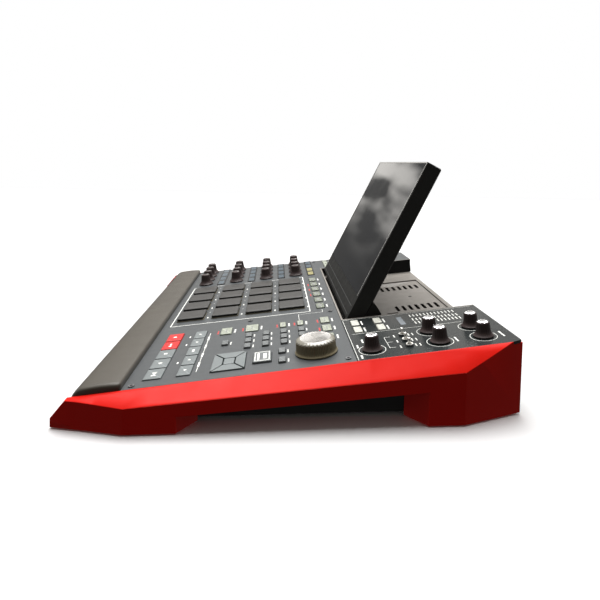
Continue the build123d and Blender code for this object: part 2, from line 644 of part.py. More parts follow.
# ---- sixteen pads: square rubber caps on captive flanges ----------------------------------------
PAD_FLANGE = 34.6
PAD_FLANGE_DEPTH = 6.2      # underside of the flange below the panel surface
PAD_FLANGE_THICKNESS = 2.8
PAD_STEM_DEPTH = PAD_FLANGE_DEPTH - PAD_FLANGE_THICKNESS
PAD_CORNER, PAD_EDGE = 2.0, 0.7
pad_number = 0
for pad_y in PAD_CENTRES_Y:
    for pad_x in PAD_CENTRES_X:
        pad_number += 1
        surface = spot(pad_x, pad_y)
        with BuildPart() as pad:
            with BuildSketch(surface.offset(-PAD_FLANGE_DEPTH)):
                RectangleRounded(PAD_FLANGE, PAD_FLANGE, PAD_CORNER)
            extrude(amount=PAD_FLANGE_THICKNESS)
            with BuildSketch(surface.offset(-PAD_STEM_DEPTH)):
                RectangleRounded(PAD_SIZE, PAD_SIZE, PAD_CORNER)
            extrude(amount=PAD_STEM_DEPTH + PAD_RISE)
            fillet(pad.faces().sort_by(Axis((0, 0, 0), PANEL_NORMAL))[-1].edges(), PAD_EDGE)
        save(pad, f"pad_{pad_number}")

# ---- sixteen encoder knobs ----------------------------------------------------------------------
SHAFT_RADIUS = 3.0
SHAFT_DEPTH = 7.0
ENCODER_OUTLINE = [
    (0, -SHAFT_DEPTH),
    (SHAFT_RADIUS, -SHAFT_DEPTH),
    (SHAFT_RADIUS, 0.7),
    (ENCODER_RADIUS, 0.7),
    (ENCODER_RADIUS, 1.7),
    (8.1, 4.8),
    (7.0, 8.4),
    (6.5, 14.9),
    (5.6, ENCODER_HEIGHT),
    (0, ENCODER_HEIGHT),
]
encoder_number = 0
for encoder_y in ENCODER_CENTRES_Y:
    for encoder_x in ENCODER_CENTRES_X:
        encoder_number += 1
        save(turned(encoder_x, encoder_y, ENCODER_OUTLINE), f"encoder_{encoder_number}")

# ---- level knobs on the audio panel -------------------------------------------------------------
LEVEL_OUTLINE = [
    (0, -SHAFT_DEPTH),
    (SHAFT_RADIUS, -SHAFT_DEPTH),
    (SHAFT_RADIUS, 0.6),
    (LEVEL_RADIUS, 0.6),
    (LEVEL_RADIUS, 1.8),
    (7.4, 4.6),
    (6.5, 13.8),
    (6.3, LEVEL_HEIGHT),
    (0, LEVEL_HEIGHT),
]
for number, (knob_x, knob_y) in enumerate(LEVEL_KNOBS, start=1):
    save(turned(knob_x, knob_y, LEVEL_OUTLINE), f"level_knob_{number}")

# ---- data dial and its metal cap ----------------------------------------------------------------
DIAL_SEAT = 11.6
DIAL_GRIP_RADIUS = 19.2
DIAL_OUTLINE = [
    (0, -SHAFT_DEPTH),
    (SHAFT_RADIUS, -SHAFT_DEPTH),
    (SHAFT_RADIUS, 0.5),
    (DIAL_RADIUS, 0.5),
    (DIAL_RADIUS, 2.0),
    (20.0, 3.0),
    (DIAL_GRIP_RADIUS, DIAL_SEAT),
    (0, DIAL_SEAT),
]
DIAL_CAP_OUTLINE = [
    (0, DIAL_SEAT),
    (DIAL_GRIP_RADIUS, DIAL_SEAT),
    (18.6, 13.2),
    (15.4, DIAL_HEIGHT),
    (0, DIAL_HEIGHT),
]
save(turned(*DIAL_CENTRE, DIAL_OUTLINE), "data_dial")
save(turned(*DIAL_CENTRE, DIAL_CAP_OUTLINE), "dial_cap")

# ---- toggle levers: bat handles that rock on one shared axis ------------------------------------
TOGGLE_PIVOT = -2.0
LEVER_OUTLINE = [
    (0, TOGGLE_PIVOT - 2.0),
    (1.1, TOGGLE_PIVOT - 1.4),
    (1.1, 3.0),
    (1.6, 7.0),
    (1.1, 8.2),
    (0, 8.2),
]
with BuildPart() as toggle_levers:
    for x, y in TOGGLES:
        with BuildSketch(upright(x, y)):
            with BuildLine():
                Polyline(*LEVER_OUTLINE, close=True)
            make_face()
        revolve(axis=Axis((x, y, panel_z(y)), PANEL_NORMAL))
save(toggle_levers, "toggle_levers")

# ---- key banks ----------------------------------------------------------------------------------
save(key_bank(TRANSPORT_KEYS, TRANSPORT_RISE, 0.4), "transport_keys")
save(key_bank(SMALL_KEYS, SMALL_RISE, 0.5), "small_keys")
save(key_bank(PALE_KEYS + CHANNEL_KEYS, PALE_RISE, 0.6), "pale_keys")

cursor_x, cursor_y = CURSOR_CENTRE
with BuildPart() as cursor_keys:
    with BuildSketch(PANEL.offset(-KEY_DEPTH)):
        with Locations((cursor_x, along(cursor_y))):
            Rectangle(*CURSOR_SIZE)
            Rectangle(*CURSOR_CLEARING, mode=Mode.SUBTRACT)
            # diagonal gaps part the ring into four arrow keys
            for turn in (-1, 1):
                Rectangle(
                    2 * CURSOR_SIZE[0],
                    CURSOR_SLIT,
                    rotation=turn * CURSOR_SLIT_ANGLE,
                    mode=Mode.SUBTRACT,
                )
            Rectangle(*CURSOR_MIDDLE)
    extrude(amount=KEY_DEPTH + CURSOR_RISE)
save(cursor_keys, "cursor_keys")
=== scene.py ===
import json
from math import atan2, cos, pi, radians, sin, tan

import bmesh
import bpy
from bpy.props import FloatProperty, FloatVectorProperty, IntProperty, PointerProperty
from bpy.types import Operator, Panel, PropertyGroup
from mathutils import Matrix, Vector


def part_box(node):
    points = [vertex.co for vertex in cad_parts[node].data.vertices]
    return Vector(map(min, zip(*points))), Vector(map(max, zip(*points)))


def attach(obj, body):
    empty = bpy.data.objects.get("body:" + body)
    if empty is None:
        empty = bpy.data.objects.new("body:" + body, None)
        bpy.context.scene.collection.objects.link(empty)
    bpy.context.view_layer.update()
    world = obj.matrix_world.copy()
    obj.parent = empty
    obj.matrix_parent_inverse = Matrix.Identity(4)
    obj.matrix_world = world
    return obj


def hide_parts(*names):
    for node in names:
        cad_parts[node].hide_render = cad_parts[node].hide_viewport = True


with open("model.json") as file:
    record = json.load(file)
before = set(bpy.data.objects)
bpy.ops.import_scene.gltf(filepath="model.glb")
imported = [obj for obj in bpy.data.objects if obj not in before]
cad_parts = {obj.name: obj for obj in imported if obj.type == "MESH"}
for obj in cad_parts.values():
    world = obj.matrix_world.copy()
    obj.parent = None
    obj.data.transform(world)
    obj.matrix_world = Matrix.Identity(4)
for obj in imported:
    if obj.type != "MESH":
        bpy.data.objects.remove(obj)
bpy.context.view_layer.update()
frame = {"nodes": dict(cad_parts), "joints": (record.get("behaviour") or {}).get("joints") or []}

bl_info = {
    "name": "Pad controller finishes",
    "version": (1, 0, 0),
    "blender": (4, 5, 0),
    "location": "View3D > Sidebar > Pad Controller",
    "description": "Builds the detailed pieces and finishes of a pad controller with a folding screen",
    "category": "Object",
}

MM = 0.001
NODES = frame["nodes"]
JOINTS = {joint["name"]: joint for joint in frame["joints"]}

# The control panel's own frame: X to the right, Y up the slope, Z out of the panel.  Its origin is on
# the panel above the middle of the body, and it is found from the dial's spindle.
DIAL_SPOT = Vector(JOINTS["dial_turn"]["pos_m"])
NORMAL = Vector(JOINTS["dial_turn"]["axis"]).normalized()
RIGHT = Vector((1.0, 0.0, 0.0))
UP_SLOPE = NORMAL.cross(RIGHT)
PANEL_ORIGIN = Vector((0.0, 0.0, DIAL_SPOT.z + NORMAL.y * DIAL_SPOT.y / NORMAL.z))
PANEL = Matrix.Translation(PANEL_ORIGIN) @ Matrix((RIGHT, UP_SLOPE, NORMAL)).transposed().to_4x4()
PANEL_INVERSE = PANEL.inverted()

SLOPE = atan2(UP_SLOPE.z, UP_SLOPE.y)

# Sizes in millimetres.
PRINT_RISE = 0.06           # printed marks above what they lie on
BAY_DEPTH = 21.4            # bay floor below the panel surface, square to it
VENT_SINK = 1.8             # the vented field below the bay floor
CORE_HALF_WIDTH = 230.8     # half the width of the tub between the cheeks
LEDGE_DROP = 3.0            # ledge of a cheek below the panel surface
SMALL_KEY_LIMIT = 20.0      # the wide one of the small keys is wider than this
FLOOR_SIDE = 6000.0         # side of the square floor
SCREEN_SEAMS = (19.0, 8.5)  # seams above the foot of the screen's face
ROUND_STEPS = 5             # steps in a rounded corner

# Places in millimetres from the middle of the panel, X and Y as the panel's frame has them.
PADS_RIGHT = 60.0           # just right of the pads
MIXER_FRONT = 50.0          # just in front of the mixer corner
MIXER_LEFT = 120.0          # left of the mixer corner's keys
FUNCTION_ROW = (30.0, 42.0)  # the row of function keys behind the pads
METER_COLUMNS = (129.0, 142.0, 153.0)

# Places in millimetres with Y level with the table.
BAY_LEFT = -166.8
BAY_FRONT = 56.5
BAY_REAR = 209.2
BAY_SCREW = (-25.6, 170.0)
# X, Y and width of each caption.
MIXER_CAPTIONS = ((213, 199.7, 14), (213, 154, 11), (189, 65.4, 9), (202, 58.6, 8), (228, 58.6, 8))

# Softened edges of the parts that keep their own shape, in metres.
STRIP_EDGE = 0.15 * MM
METAL_EDGE = 0.2 * MM
SHEET_EDGE = 0.25 * MM
BAY_EDGE = 0.3 * MM
HINGE_EDGE = 0.5 * MM
SCREEN_EDGE = 0.7 * MM
CURSOR_EDGE = 0.9 * MM

# Finishes.
MOTTLE_SCALE = 14.0         # patches of tone per metre
GLOSS_SCALE = 60.0          # patches of gloss per metre
DUST = (0.36, 0.35, 0.33)

# Light, and the camera in metres and degrees.
SKY_POWER = 3.45
KEY_POWER = 62.0
KEY_SIZE = 1.5
ROOM_TINT = (1.0, 0.97, 0.92, 1.0)
ROOM_GLOW = 0.13
SIDE_GLOW = 0.12
WALL_GLOW = 0.85
LENS = 30.3
LENS_SHIFT = (-0.0519, -0.1913)
CAMERA_PLACE = (0.682, -0.0244, 0.2329)
CAMERA_TURN = (87.624, -1.619, 83.817)


def level(y):
    """Panel Y for a level distance y, in millimetres."""
    return y / UP_SLOPE.y


# ---- sizes and colours ---------------------------------------------------------------------------
def colour(name, description, red, green, blue):
    """A colour setting, from 8-bit display values."""
    linear = [pow(value / 255.0, 2.2) for value in (red, green, blue)]
    return FloatVectorProperty(
        name=name, description=description, subtype="COLOR", size=3, min=0.0, max=1.0, default=linear
    )


def length(name, description, millimetres):
    """A length setting, from millimetres."""
    return FloatProperty(name=name, description=description, unit="LENGTH", default=millimetres * MM)


def count(name, description, default, low, high):
    """A whole number setting."""
    return IntProperty(name=name, description=description, default=default, min=low, max=high)


class PadControllerColours(PropertyGroup):
    cheek: colour("Cheeks", "Paint of the two side cheeks", 178, 26, 18)
    panel: colour("Panel", "Powder coat of the control panel", 54, 56, 57)
    audio: colour("Mixer corner", "Semi-gloss sheet around the level knobs", 31, 34, 34)
    bay: colour("Screen bay", "Paint of the screen bay and its vent plate", 102, 98, 93)
    case: colour("Case", "Moulded bottom case", 24, 24, 25)
    rest: colour("Palm rest", "Soft skin of the palm rest", 52, 48, 41)
    pad: colour("Pads", "Silicone of the pads", 31, 29, 26)
    # The pad skirts' pale tone is partly clear silicone and partly painted glow from the pads' lights
    # below.
    pad_skirt: colour("Pad skirts", "Clear silicone at the foot of each pad", 112, 106, 90)
    knob: colour("Knobs", "Soft-touch moulding of the knobs", 52, 44, 43)
    key_grey: colour("Transport keys", "Grey transport keys", 88, 92, 92)
    key_red: colour("Record keys", "Two red record keys", 150, 26, 24)
    key_black: colour("Small keys", "Small dark keys", 80, 82, 82)
    key_pale: colour("Lit keys", "Translucent lit keys", 118, 121, 110)
    key_dim: colour("Function keys", "Dimmed function keys beside the pads", 90, 94, 84)
    key_lit: colour("Channel keys", "Lit channel keys of the mixer corner", 150, 150, 142)
    label: colour("Level label", "Grey field over the level marks", 84, 88, 91)
    window_warm: colour("Warm windows", "Two warm display windows", 120, 114, 80)
    dial: colour("Dial side", "Ribbed side of the data dial", 104, 96, 76)
    print_white: colour("White print", "White marks on the panel", 165, 165, 160)
    print_red: colour("Red print", "Red marks on the panel", 140, 36, 32)
    screen: colour("Screen shell", "Satin shell of the screen", 34, 34, 33)
    window: colour("Display windows", "Unlit windows above the encoders", 58, 66, 72)
    floor: colour("Floor", "Plain floor under the object", 250, 250, 250)


class PadControllerSizes(PropertyGroup):
    edge: length("Edge radius", "Softened edges of the shell parts", 0.6)
    key_edge: length("Key edge", "Rounded top edges of the keys", 0.7)
    pad_edge: length("Pad edge", "Rounded top edges of the pads", 1.1)
    line: length("Printed line", "Width of the printed frame line", 1.1)
    thin_line: length("Thin line", "Width of the fine printed lines", 0.45)
    flutes: count("Knob flutes", "Flutes round a knob", 22, 6, 60)
    ribs: count("Dial ribs", "Ribs round the data dial", 72, 12, 120)


def colours():
    """The colour settings."""
    return bpy.context.scene.pad_controller_colours


def sizes():
    """The size settings."""
    return bpy.context.scene.pad_controller_sizes


# ---- finishes ------------------------------------------------------------------------------------
def new_finish(name):
    """An empty node material, with its node tree and its main shader."""
    material = bpy.data.materials.new(name)
    material.use_nodes = True
    tree = material.node_tree
    return material, tree, tree.nodes["Principled BSDF"]


def set_inputs(node, **values):
    """Sets a node's own sockets; an underscore stands for a space in a socket's name."""
    for name, value in values.items():
        node.inputs[name.replace("_", " ")].default_value = value


def texture(tree, kind, place, **values):
    """A texture node over a set of coordinates, with some of its sockets set."""
    node = tree.nodes.new(f"ShaderNodeTex{kind}")
    set_inputs(node, **values)
    tree.links.new(place, node.inputs["Vector"])
    return node


def object_place(tree):
    """The object's own coordinates."""
    return tree.nodes.new("ShaderNodeTexCoord").outputs["Object"]


def object_noise(tree, scale, detail=4.0):
    """Noise over the object's own coordinates."""
    noise = texture(tree, "Noise", object_place(tree), Scale=scale, Detail=detail, Roughness=0.55)
    return noise.outputs["Fac"]


def remap(tree, value, start, end, low=0.0, high=1.0, smooth=False):
    """A value carried from the range start to end into the range low to high."""
    spread = tree.nodes.new("ShaderNodeMapRange")
    if smooth:
        spread.interpolation_type = "SMOOTHSTEP"
    set_inputs(spread, From_Min=start, From_Max=end, To_Min=low, To_Max=high)
    tree.links.new(value, spread.inputs["Value"])
    return spread.outputs["Result"]


def maths(tree, operation, *terms):
    """A maths node, each term of which is a number or another node's output."""
    node = tree.nodes.new("ShaderNodeMath")
    node.operation = operation
    for socket, term in zip(node.inputs, terms):
        if isinstance(term, float):
            socket.default_value = term
        else:
            tree.links.new(term, socket)
    return node.outputs["Value"]


def mottle(tree, shader, base, amount, scale):
    """Slow colour variation between a darker and a lighter tone of the base colour."""
    ramp = tree.nodes.new("ShaderNodeValToRGB")
    tones = ((0.3, 1.0 - amount), (0.7, 1.0 + amount))
    for stop, (position, tone) in zip(ramp.color_ramp.elements, tones):
        stop.position = position
        stop.color = [min(1.0, channel * tone) for channel in base] + [1.0]
    tree.links.new(object_noise(tree, scale), ramp.inputs["Fac"])
    tree.links.new(ramp.outputs["Color"], shader.inputs["Base Color"])
    return ramp.outputs["Color"]


def uneven_gloss(tree, shader, rough, scale):
    """Roughness that wanders between two values."""
    spread = remap(tree, object_noise(tree, scale, detail=6.0), 0.3, 0.7, *rough)
    tree.links.new(spread, shader.inputs["Roughness"])


def raise_grain(tree, shader, height, distance):
    """Bump from any height output."""
    bump = tree.nodes.new("ShaderNodeBump")
    set_inputs(bump, Strength=1.0, Distance=distance)
    tree.links.new(height, bump.inputs["Height"])
    tree.links.new(bump.outputs["Normal"], shader.inputs["Normal"])


def lay_over(tree, shader, under, over, share):
    """Base colour that turns from one output to a second colour by a share."""
    mix = tree.nodes.new("ShaderNodeMix")
    mix.data_type = "RGBA"
    set_inputs(mix, B=(*over, 1.0))
    tree.links.new(share, mix.inputs["Factor"])
    tree.links.new(under, mix.inputs["A"])
    tree.links.new(mix.outputs["Result"], shader.inputs["Base Color"])


def painted_edge_highlight(tree, shader, tone, base):
    """Painted highlight: convex edges are painted a lighter tone of the base colour, as if light caught
    them.
    """
    geometry = tree.nodes.new("ShaderNodeNewGeometry")
    edge = remap(tree, geometry.outputs["Pointiness"], 0.53, 0.62, 0.0, 0.5)
    lay_over(tree, shader, tone, [min(1.0, channel * 1.6 + 0.01) for channel in base], edge)


def moulded(name, base, rough, grain, patchy=0.06, shine=0.3, **extra):
    """Moulded or coated skin.

    rough is the range of its roughness, grain the pitch and depth of its grain in millimetres, patchy
    the strength of its mottle, shine its specular level, and extra any other socket of its shader.
    """
    material, tree, shader = new_finish(name)
    set_inputs(shader, Specular_IOR_Level=shine, **extra)
    tone = mottle(tree, shader, base, patchy, MOTTLE_SCALE)
    uneven_gloss(tree, shader, rough, GLOSS_SCALE)
    pitch, depth = grain
    raise_grain(tree, shader, object_noise(tree, 1.0 / (pitch * MM), detail=2.0), depth * MM)
    # Painted highlight on the convex edges.
    painted_edge_highlight(tree, shader, tone, base)
    return material


def satin_red_paint():
    """Satin paint with faint orange peel."""
    return moulded("cheek_red_paint", colours().cheek, (0.34, 0.44), (1.6, 0.02), 0.04, shine=0.09)


def powder_coat():
    """Satin powder coat with a fine pebble."""
    return moulded("panel_powder_coat", colours().panel, (0.36, 0.48), (0.45, 0.02), 0.05)


def semi_gloss_sheet():
    """Semi-gloss printed sheet of the mixer corner."""
    return moulded("mixer_gloss_sheet", colours().audio, (0.22, 0.3), (2.2, 0.004), 0.04, shine=0.25)


def bay_paint():
    """Pale satin paint of the screen bay."""
    return moulded("bay_paint", colours().bay, (0.36, 0.5), (0.6, 0.015), 0.04)


def bay_wall_painted_shade():
    """Painted shade: a near-black matt skin over the bay's end wall, standing in for the shadow on that
    wall.
    """
    return moulded("bay_end_painted_shade", (0.006, 0.006, 0.006), (0.5, 0.7), (0.4, 0.02), shine=0.1)


def case_grain():
    """Coarse moulded grain of the bottom case."""
    return moulded("case_grain", colours().case, (0.5, 0.65), (0.7, 0.05), 0.08)


def foot_rubber():
    """Matt rubber of the feet."""
    return moulded("foot_rubber", (0.02, 0.02, 0.02), (0.6, 0.8), (0.5, 0.04))


def rest_skin():
    """Soft skin with a leather-like cell grain, small rubs and specks of dust."""
    material, tree, shader = new_finish("rest_skin")
    set_inputs(shader, Specular_IOR_Level=0.28, Sheen_Weight=0.06, Sheen_Roughness=0.5)
    tone = mottle(tree, shader, colours().rest, 0.07, 9.0)
    uneven_gloss(tree, shader, (0.46, 0.6), 30.0)
    place = object_place(tree)
    cells = texture(tree, "Voronoi", place, Scale=900.0)
    cells.feature = "DISTANCE_TO_EDGE"
    raise_grain(tree, shader, maths(tree, "MINIMUM", cells.outputs["Distance"], 0.25), 0.12 * MM)
    specks = texture(tree, "Voronoi", place, Scale=42.0, Randomness=1.0)
    speck = remap(tree, specks.outputs["Distance"], 0.045, 0.03, 0.0, 0.35)
    lay_over(tree, shader, tone, DUST, speck)
    return material


def pad_silicone():
    """Matt silicone with a fine stipple."""
    return moulded("pad_silicone", colours().pad, (0.42, 0.55), (0.35, 0.02), Sheen_Weight=0.08)


def skirt_silicone_painted_glow():
    """Clear silicone foot of a pad; its pale tone is partly the silicone and partly painted glow from the
    pad's lights below.
    """
    return moulded(
        "pad_skirt_painted_glow", colours().pad_skirt, (0.35, 0.45), (0.5, 0.01), 0.05,
        Subsurface_Weight=0.3, Subsurface_Radius=(0.002, 0.002, 0.002),
    )


def flank_painted_shade():
    """Painted shade: near-black upright flank of a pad, standing in for the shade on the pad's sides."""
    return moulded("pad_flank_painted_shade", (0.008, 0.008, 0.007), (0.5, 0.6), (0.5, 0.01), shine=0.1)


def knob_soft_touch():
    """Soft-touch knob skin with a little lint."""
    return moulded(
        "knob_soft_touch", colours().knob, (0.34, 0.5), (0.4, 0.015), 0.18, shine=0.14, Sheen_Weight=0.03
    )


def screen_shell():
    """Satin black shell of the screen."""
    return moulded("screen_shell", colours().screen, (0.36, 0.48), (0.5, 0.012), 0.08, shine=0.12)


def seam_skin():
    """Dull dark floor of a seam."""
    return moulded("screen_seam", (0.05, 0.05, 0.05), (0.3, 0.4), (0.5, 0.01))


def edge_skin():
    """Pale bead round the screen's glass."""
    return moulded("screen_edge", (0.3, 0.29, 0.27), (0.25, 0.35), (0.5, 0.01))


def dial_skin():
    """Satin side of the data dial."""
    return moulded("dial_skin", colours().dial, (0.28, 0.42), (0.6, 0.01), 0.12)


def dial_ring_skin():
    """Glossy scalloped ring round the dial's disc."""
    return moulded("dial_ring_skin", (0.15, 0.14, 0.115), (0.16, 0.26), (0.6, 0.004), shine=0.6)


def key_skin(name, base):
    """Satin key cap."""
    return moulded(name, base, (0.34, 0.44), (0.4, 0.008), 0.04)


def lit_key_skin(name, base):
    """Translucent key cap."""
    return moulded(
        name, base, (0.3, 0.4), (0.5, 0.006), 0.03,
        Subsurface_Weight=0.25, Subsurface_Radius=(0.003, 0.003, 0.003),
    )


def sensor_skin():
    """Dark gloss of the small windows between the function keys."""
    return moulded("sensor_window", (0.015, 0.015, 0.016), (0.15, 0.25), (0.4, 0.01))


def bore_painted_shade():
    """Painted shade: a near-black disc down in a socket, standing in for the shade inside its bore."""
    return moulded("socket_depth_shade", (0.005, 0.005, 0.005), (0.6, 0.8), (0.5, 0.01), shine=0.1)


def printed(name, base):
    """Screen-printed ink, a little uneven."""
    return moulded(name, base, (0.45, 0.6), (0.3, 0.004), 0.05)


def floor_paint():
    """Plain matt floor."""
    return moulded("floor_paint", colours().floor, (0.6, 0.7), (3.0, 0.01), 0.01)


def bare_metal(name, base, roughness, scratch_scale):
    """Metal with fine directional scratches."""
    material, tree, shader = new_finish(name)
    mottle(tree, shader, base, 0.05, 40.0)
    set_inputs(shader, Metallic=1.0)
    uneven_gloss(tree, shader, (roughness * 0.8, roughness * 1.3), 120.0)
    stretch = tree.nodes.new("ShaderNodeMapping")
    set_inputs(stretch, Scale=(1.0, 1.0, 12.0))
    tree.links.new(object_place(tree), stretch.inputs["Vector"])
    scratches = texture(tree, "Noise", stretch.outputs["Vector"], Scale=scratch_scale)
    raise_grain(tree, shader, scratches.outputs["Fac"], 0.01 * MM)
    return material


def spun_metal():
    """Metal disc turned on a lathe: fine rings about the disc's own centre."""
    material, tree, shader = new_finish("dial_spun_metal")
    mottle(tree, shader, (0.78, 0.76, 0.74), 0.05, 30.0)
    set_inputs(shader, Metallic=1.0, Anisotropic=0.6)
    uneven_gloss(tree, shader, (0.16, 0.26), 90.0)
    rings = texture(tree, "Wave", object_place(tree), Scale=900.0, Distortion=0.6)
    rings.wave_type = "RINGS"
    rings.rings_direction = "Z"
    raise_grain(tree, shader, rings.outputs["Fac"], 0.004 * MM)
    return material


def dark_glass(name, base, roughness, coat):
    """Clear gloss over a dark layer, with faint smears."""
    material, tree, shader = new_finish(name)
    set_inputs(shader, Specular_IOR_Level=0.5 * coat, Coat_Weight=coat, Coat_Roughness=0.02)
    mottle(tree, shader, base, 0.15, 18.0)
    uneven_gloss(tree, shader, (roughness, roughness + 0.06), 22.0)
    return material


def circuit_board():
    """Green solder mask with copper runs just showing."""
    material, tree, shader = new_finish("board_mask")
    brick = texture(
        tree, "Brick", object_place(tree), Scale=90.0, Color1=(0.01, 0.09, 0.035, 1.0),
        Color2=(0.012, 0.11, 0.045, 1.0), Mortar=(0.03, 0.19, 0.07, 1.0),
    )
    tree.links.new(brick.outputs["Color"], shader.inputs["Base Color"])
    uneven_gloss(tree, shader, (0.25, 0.4), 80.0)
    return material


# ---- mesh work, in the panel's frame and in millimetres ------------------------------------------
def rounded_ring(x, y, width, depth, radius, z):
    """Points round a rectangle with rounded corners, at one height."""
    radius = max(min(radius, width / 2 - 0.01, depth / 2 - 0.01), 0.005)
    points = []
    for quarter, (side, end) in enumerate(((1, 1), (-1, 1), (-1, -1), (1, -1))):
        for step in range(ROUND_STEPS + 1):
            angle = (quarter + step / ROUND_STEPS) * pi / 2
            points.append(
                (
                    x + side * (width / 2 - radius) + radius * cos(angle),
                    y + end * (depth / 2 - radius) + radius * sin(angle),
                    z,
                )
            )
    return points


def skin_rings(mesh, rings, paint=0):
    """Faces between rings of equal count, and over both ends."""
    loops = [[mesh.verts.new(point) for point in ring] for ring in rings]
    count = len(loops[0])
    for low, high in zip(loops, loops[1:]):
        for index in range(count):
            after = (index + 1) % count
            face = mesh.faces.new((low[index], low[after], high[after], high[index]))
            face.material_index = paint
    mesh.faces.new(reversed(loops[0])).material_index = paint
    mesh.faces.new(loops[-1]).material_index = paint


def cap(mesh, x, y, width, depth, low, high, corner, edge, dish=0.0, paint=0):
    """A key, pad or plate: straight sides, rolled top edge and a top that may be dished or crowned."""
    rings = [rounded_ring(x, y, width, depth, corner, low)]
    for step in range(5):
        angle = step / 4 * pi / 2
        inset = edge * (1 - cos(angle))
        height = high - edge + edge * sin(angle)
        rings.append(
            rounded_ring(x, y, width - 2 * inset, depth - 2 * inset, max(corner - inset, 0.2), height)
        )
    if dish:
        across, along = width - 2 * edge, depth - 2 * edge
        for share in (0.75, 0.5, 0.25):
            sink = dish * (1 - share * share)
            rings.append(rounded_ring(x, y, across * share, along * share, corner, high - sink))
    skin_rings(mesh, rings, paint)


def plate(mesh, x, y, width, depth, low=0.0, rise=PRINT_RISE, corner=0.3):
    """A thin flat mark."""
    skin_rings(mesh, [rounded_ring(x, y, width, depth, corner, z) for z in (low, low + rise)])


def turned(mesh, profile, segments, wave=None, x=0.0, y=0.0):
    """A turned solid from (radius, height) points; wave changes the radius round the axis."""
    rings = []
    for radius, height in profile:
        ring = []
        for index in range(segments):
            angle = 2 * pi * index / segments
            reach = radius + (wave(angle, radius, height) if wave else 0.0)
            ring.append((x + reach * cos(angle), y + reach * sin(angle), height))
        rings.append(ring)
    skin_rings(mesh, rings)


def fluting(core, low, high, depth):
    """Flutes in a knob between two heights, wherever it is wider than its core."""
    flutes = sizes().flutes

    def flute(angle, radius, height):
        if radius < core or not low < height < high:
            return 0.0
        return -depth * max(0.0, cos(angle * flutes)) ** 2

    return flute


def hoop(mesh, x, y, radius, width, low=0.0, rise=PRINT_RISE, segments=48):
    """A flat printed ring."""
    rows = []
    outside, top = radius + width, low + rise
    for reach, height in ((radius, low), (radius, top), (outside, top), (outside, low)):
        row = []
        for index in range(segments):
            angle = 2 * pi * index / segments
            row.append(mesh.verts.new((x + reach * cos(angle), y + reach * sin(angle), height)))
        rows.append(row)
    for inner, outer in zip(rows, rows[1:] + rows[:1]):
        for index in range(segments):
            after = (index + 1) % segments
            mesh.faces.new((inner[index], inner[after], outer[after], outer[index]))


def outline(mesh, x, y, width, depth, line):
    """A printed rectangle of four lines."""
    for side in (-1, 1):
        plate(mesh, x, y + side * (depth - line) / 2, width, line)
        plate(mesh, x + side * (width - line) / 2, y, line, depth)


def prism(mesh, points, low, high):
    """An upright prism on a flat outline."""
    skin_rings(mesh, [[(x, y, low) for x, y in points], [(x, y, high) for x, y in points]])


def mesh_data(name, mesh, materials, smooth_angle=35.0):
    """Ready mesh data in metres, smooth but for its sharp edges."""
    bmesh.ops.recalc_face_normals(mesh, faces=mesh.faces)
    data = bpy.data.meshes.new(name)
    mesh.to_mesh(data)
    mesh.free()
    data.transform(Matrix.Diagonal((MM, MM, MM, 1.0)))
    for polygon in data.polygons:
        polygon.use_smooth = True
    data.set_sharp_from_angle(angle=radians(smooth_angle))
    for material in materials:
        data.materials.append(material)
    return data


def finish_piece(name, mesh, body, materials, place=PANEL, nodes=(), smooth_angle=35.0):
    """Turns a mesh in millimetres into a piece in the row frame that rides on a body."""
    return place_piece(name, mesh_data(name, mesh, materials, smooth_angle), body, place, nodes)


def place_piece(name, data, body, place, nodes=()):
    """An object of ready mesh data, placed, riding, and standing for its CAD nodes."""
    piece = bpy.data.objects.new(name, data)
    bpy.context.scene.collection.objects.link(piece)
    piece.matrix_world = place
    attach(piece, body)
    if nodes:
        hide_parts(*nodes)
    return piece


def numbered(stem):
    """Names of the like nodes stem_1, stem_2 and on, as far as they go."""
    number = 1
    while f"{stem}_{number}" in NODES:
        yield f"{stem}_{number}"
        number += 1


def spindle(joint):
    """Placement on a knob's own axis, from the panel surface outwards."""
    spot = Vector(JOINTS[joint]["pos_m"])
    return Matrix.Translation(spot) @ PANEL.to_3x3().to_4x4()


def coat_node(node, material, edge=0.0):
    """Gives a CAD node its finish, and softens its edges where asked."""
    piece = NODES[node]
    piece.data.materials.clear()
    piece.data.materials.append(material)
    if edge:
        weld = piece.modifiers.new("weld", "WELD")
        weld.merge_threshold = 0.00002
        bevel = piece.modifiers.new("soft_edges", "BEVEL")
        bevel.width = edge
        bevel.segments = 2
        bevel.limit_method = "ANGLE"
        bevel.angle_limit = radians(32.0)
        bevel.harden_normals = True


def bay_floor():
    """Height of the bay floor in the panel's frame, in millimetres, at the bay's rear edge."""
    _low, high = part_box("screen_well")
    corner = PANEL_INVERSE @ Vector((0.0, high.y, high.z))
    return corner.z / MM - BAY_DEPTH


def key_boxes(node, inverse=PANEL_INVERSE):
    """(x, y, width, depth, top) of each loose key of a bank, in the panel's frame, in millimetres."""
    mesh = bmesh.new()
    mesh.from_mesh(NODES[node].data)
    bmesh.ops.remove_doubles(mesh, verts=mesh.verts, dist=0.00001)
    mesh.transform(Matrix.Diagonal((1000.0, 1000.0, 1000.0, 1.0)) @ inverse)
    waiting = set(mesh.verts)
    boxes = []
    while waiting:
        group = [waiting.pop()]
        for vertex in group:
            for edge in vertex.link_edges:
                other = edge.other_vert(vertex)
                if other in waiting:
                    waiting.remove(other)
                    group.append(other)
        left, front, _foot = [min(vertex.co[axis] for vertex in group) for axis in range(3)]
        right, rear, top = [max(vertex.co[axis] for vertex in group) for axis in range(3)]
        boxes.append(((left + right) / 2, (front + rear) / 2, right - left, rear - front, top))
    mesh.free()
    return sorted(boxes, key=lambda box: (round(box[1]), box[0]))


def is_function_key(box):
    """True for the box of a key in the dim row behind the pads."""
    front, rear = FUNCTION_ROW
    return front < box[1] < rear and box[0] < PADS_RIGHT


def is_channel_key(box):
    """True for the box of one of the mixer corner's lit keys."""
    return box[0] > MIXER_LEFT and box[1] > MIXER_FRONT


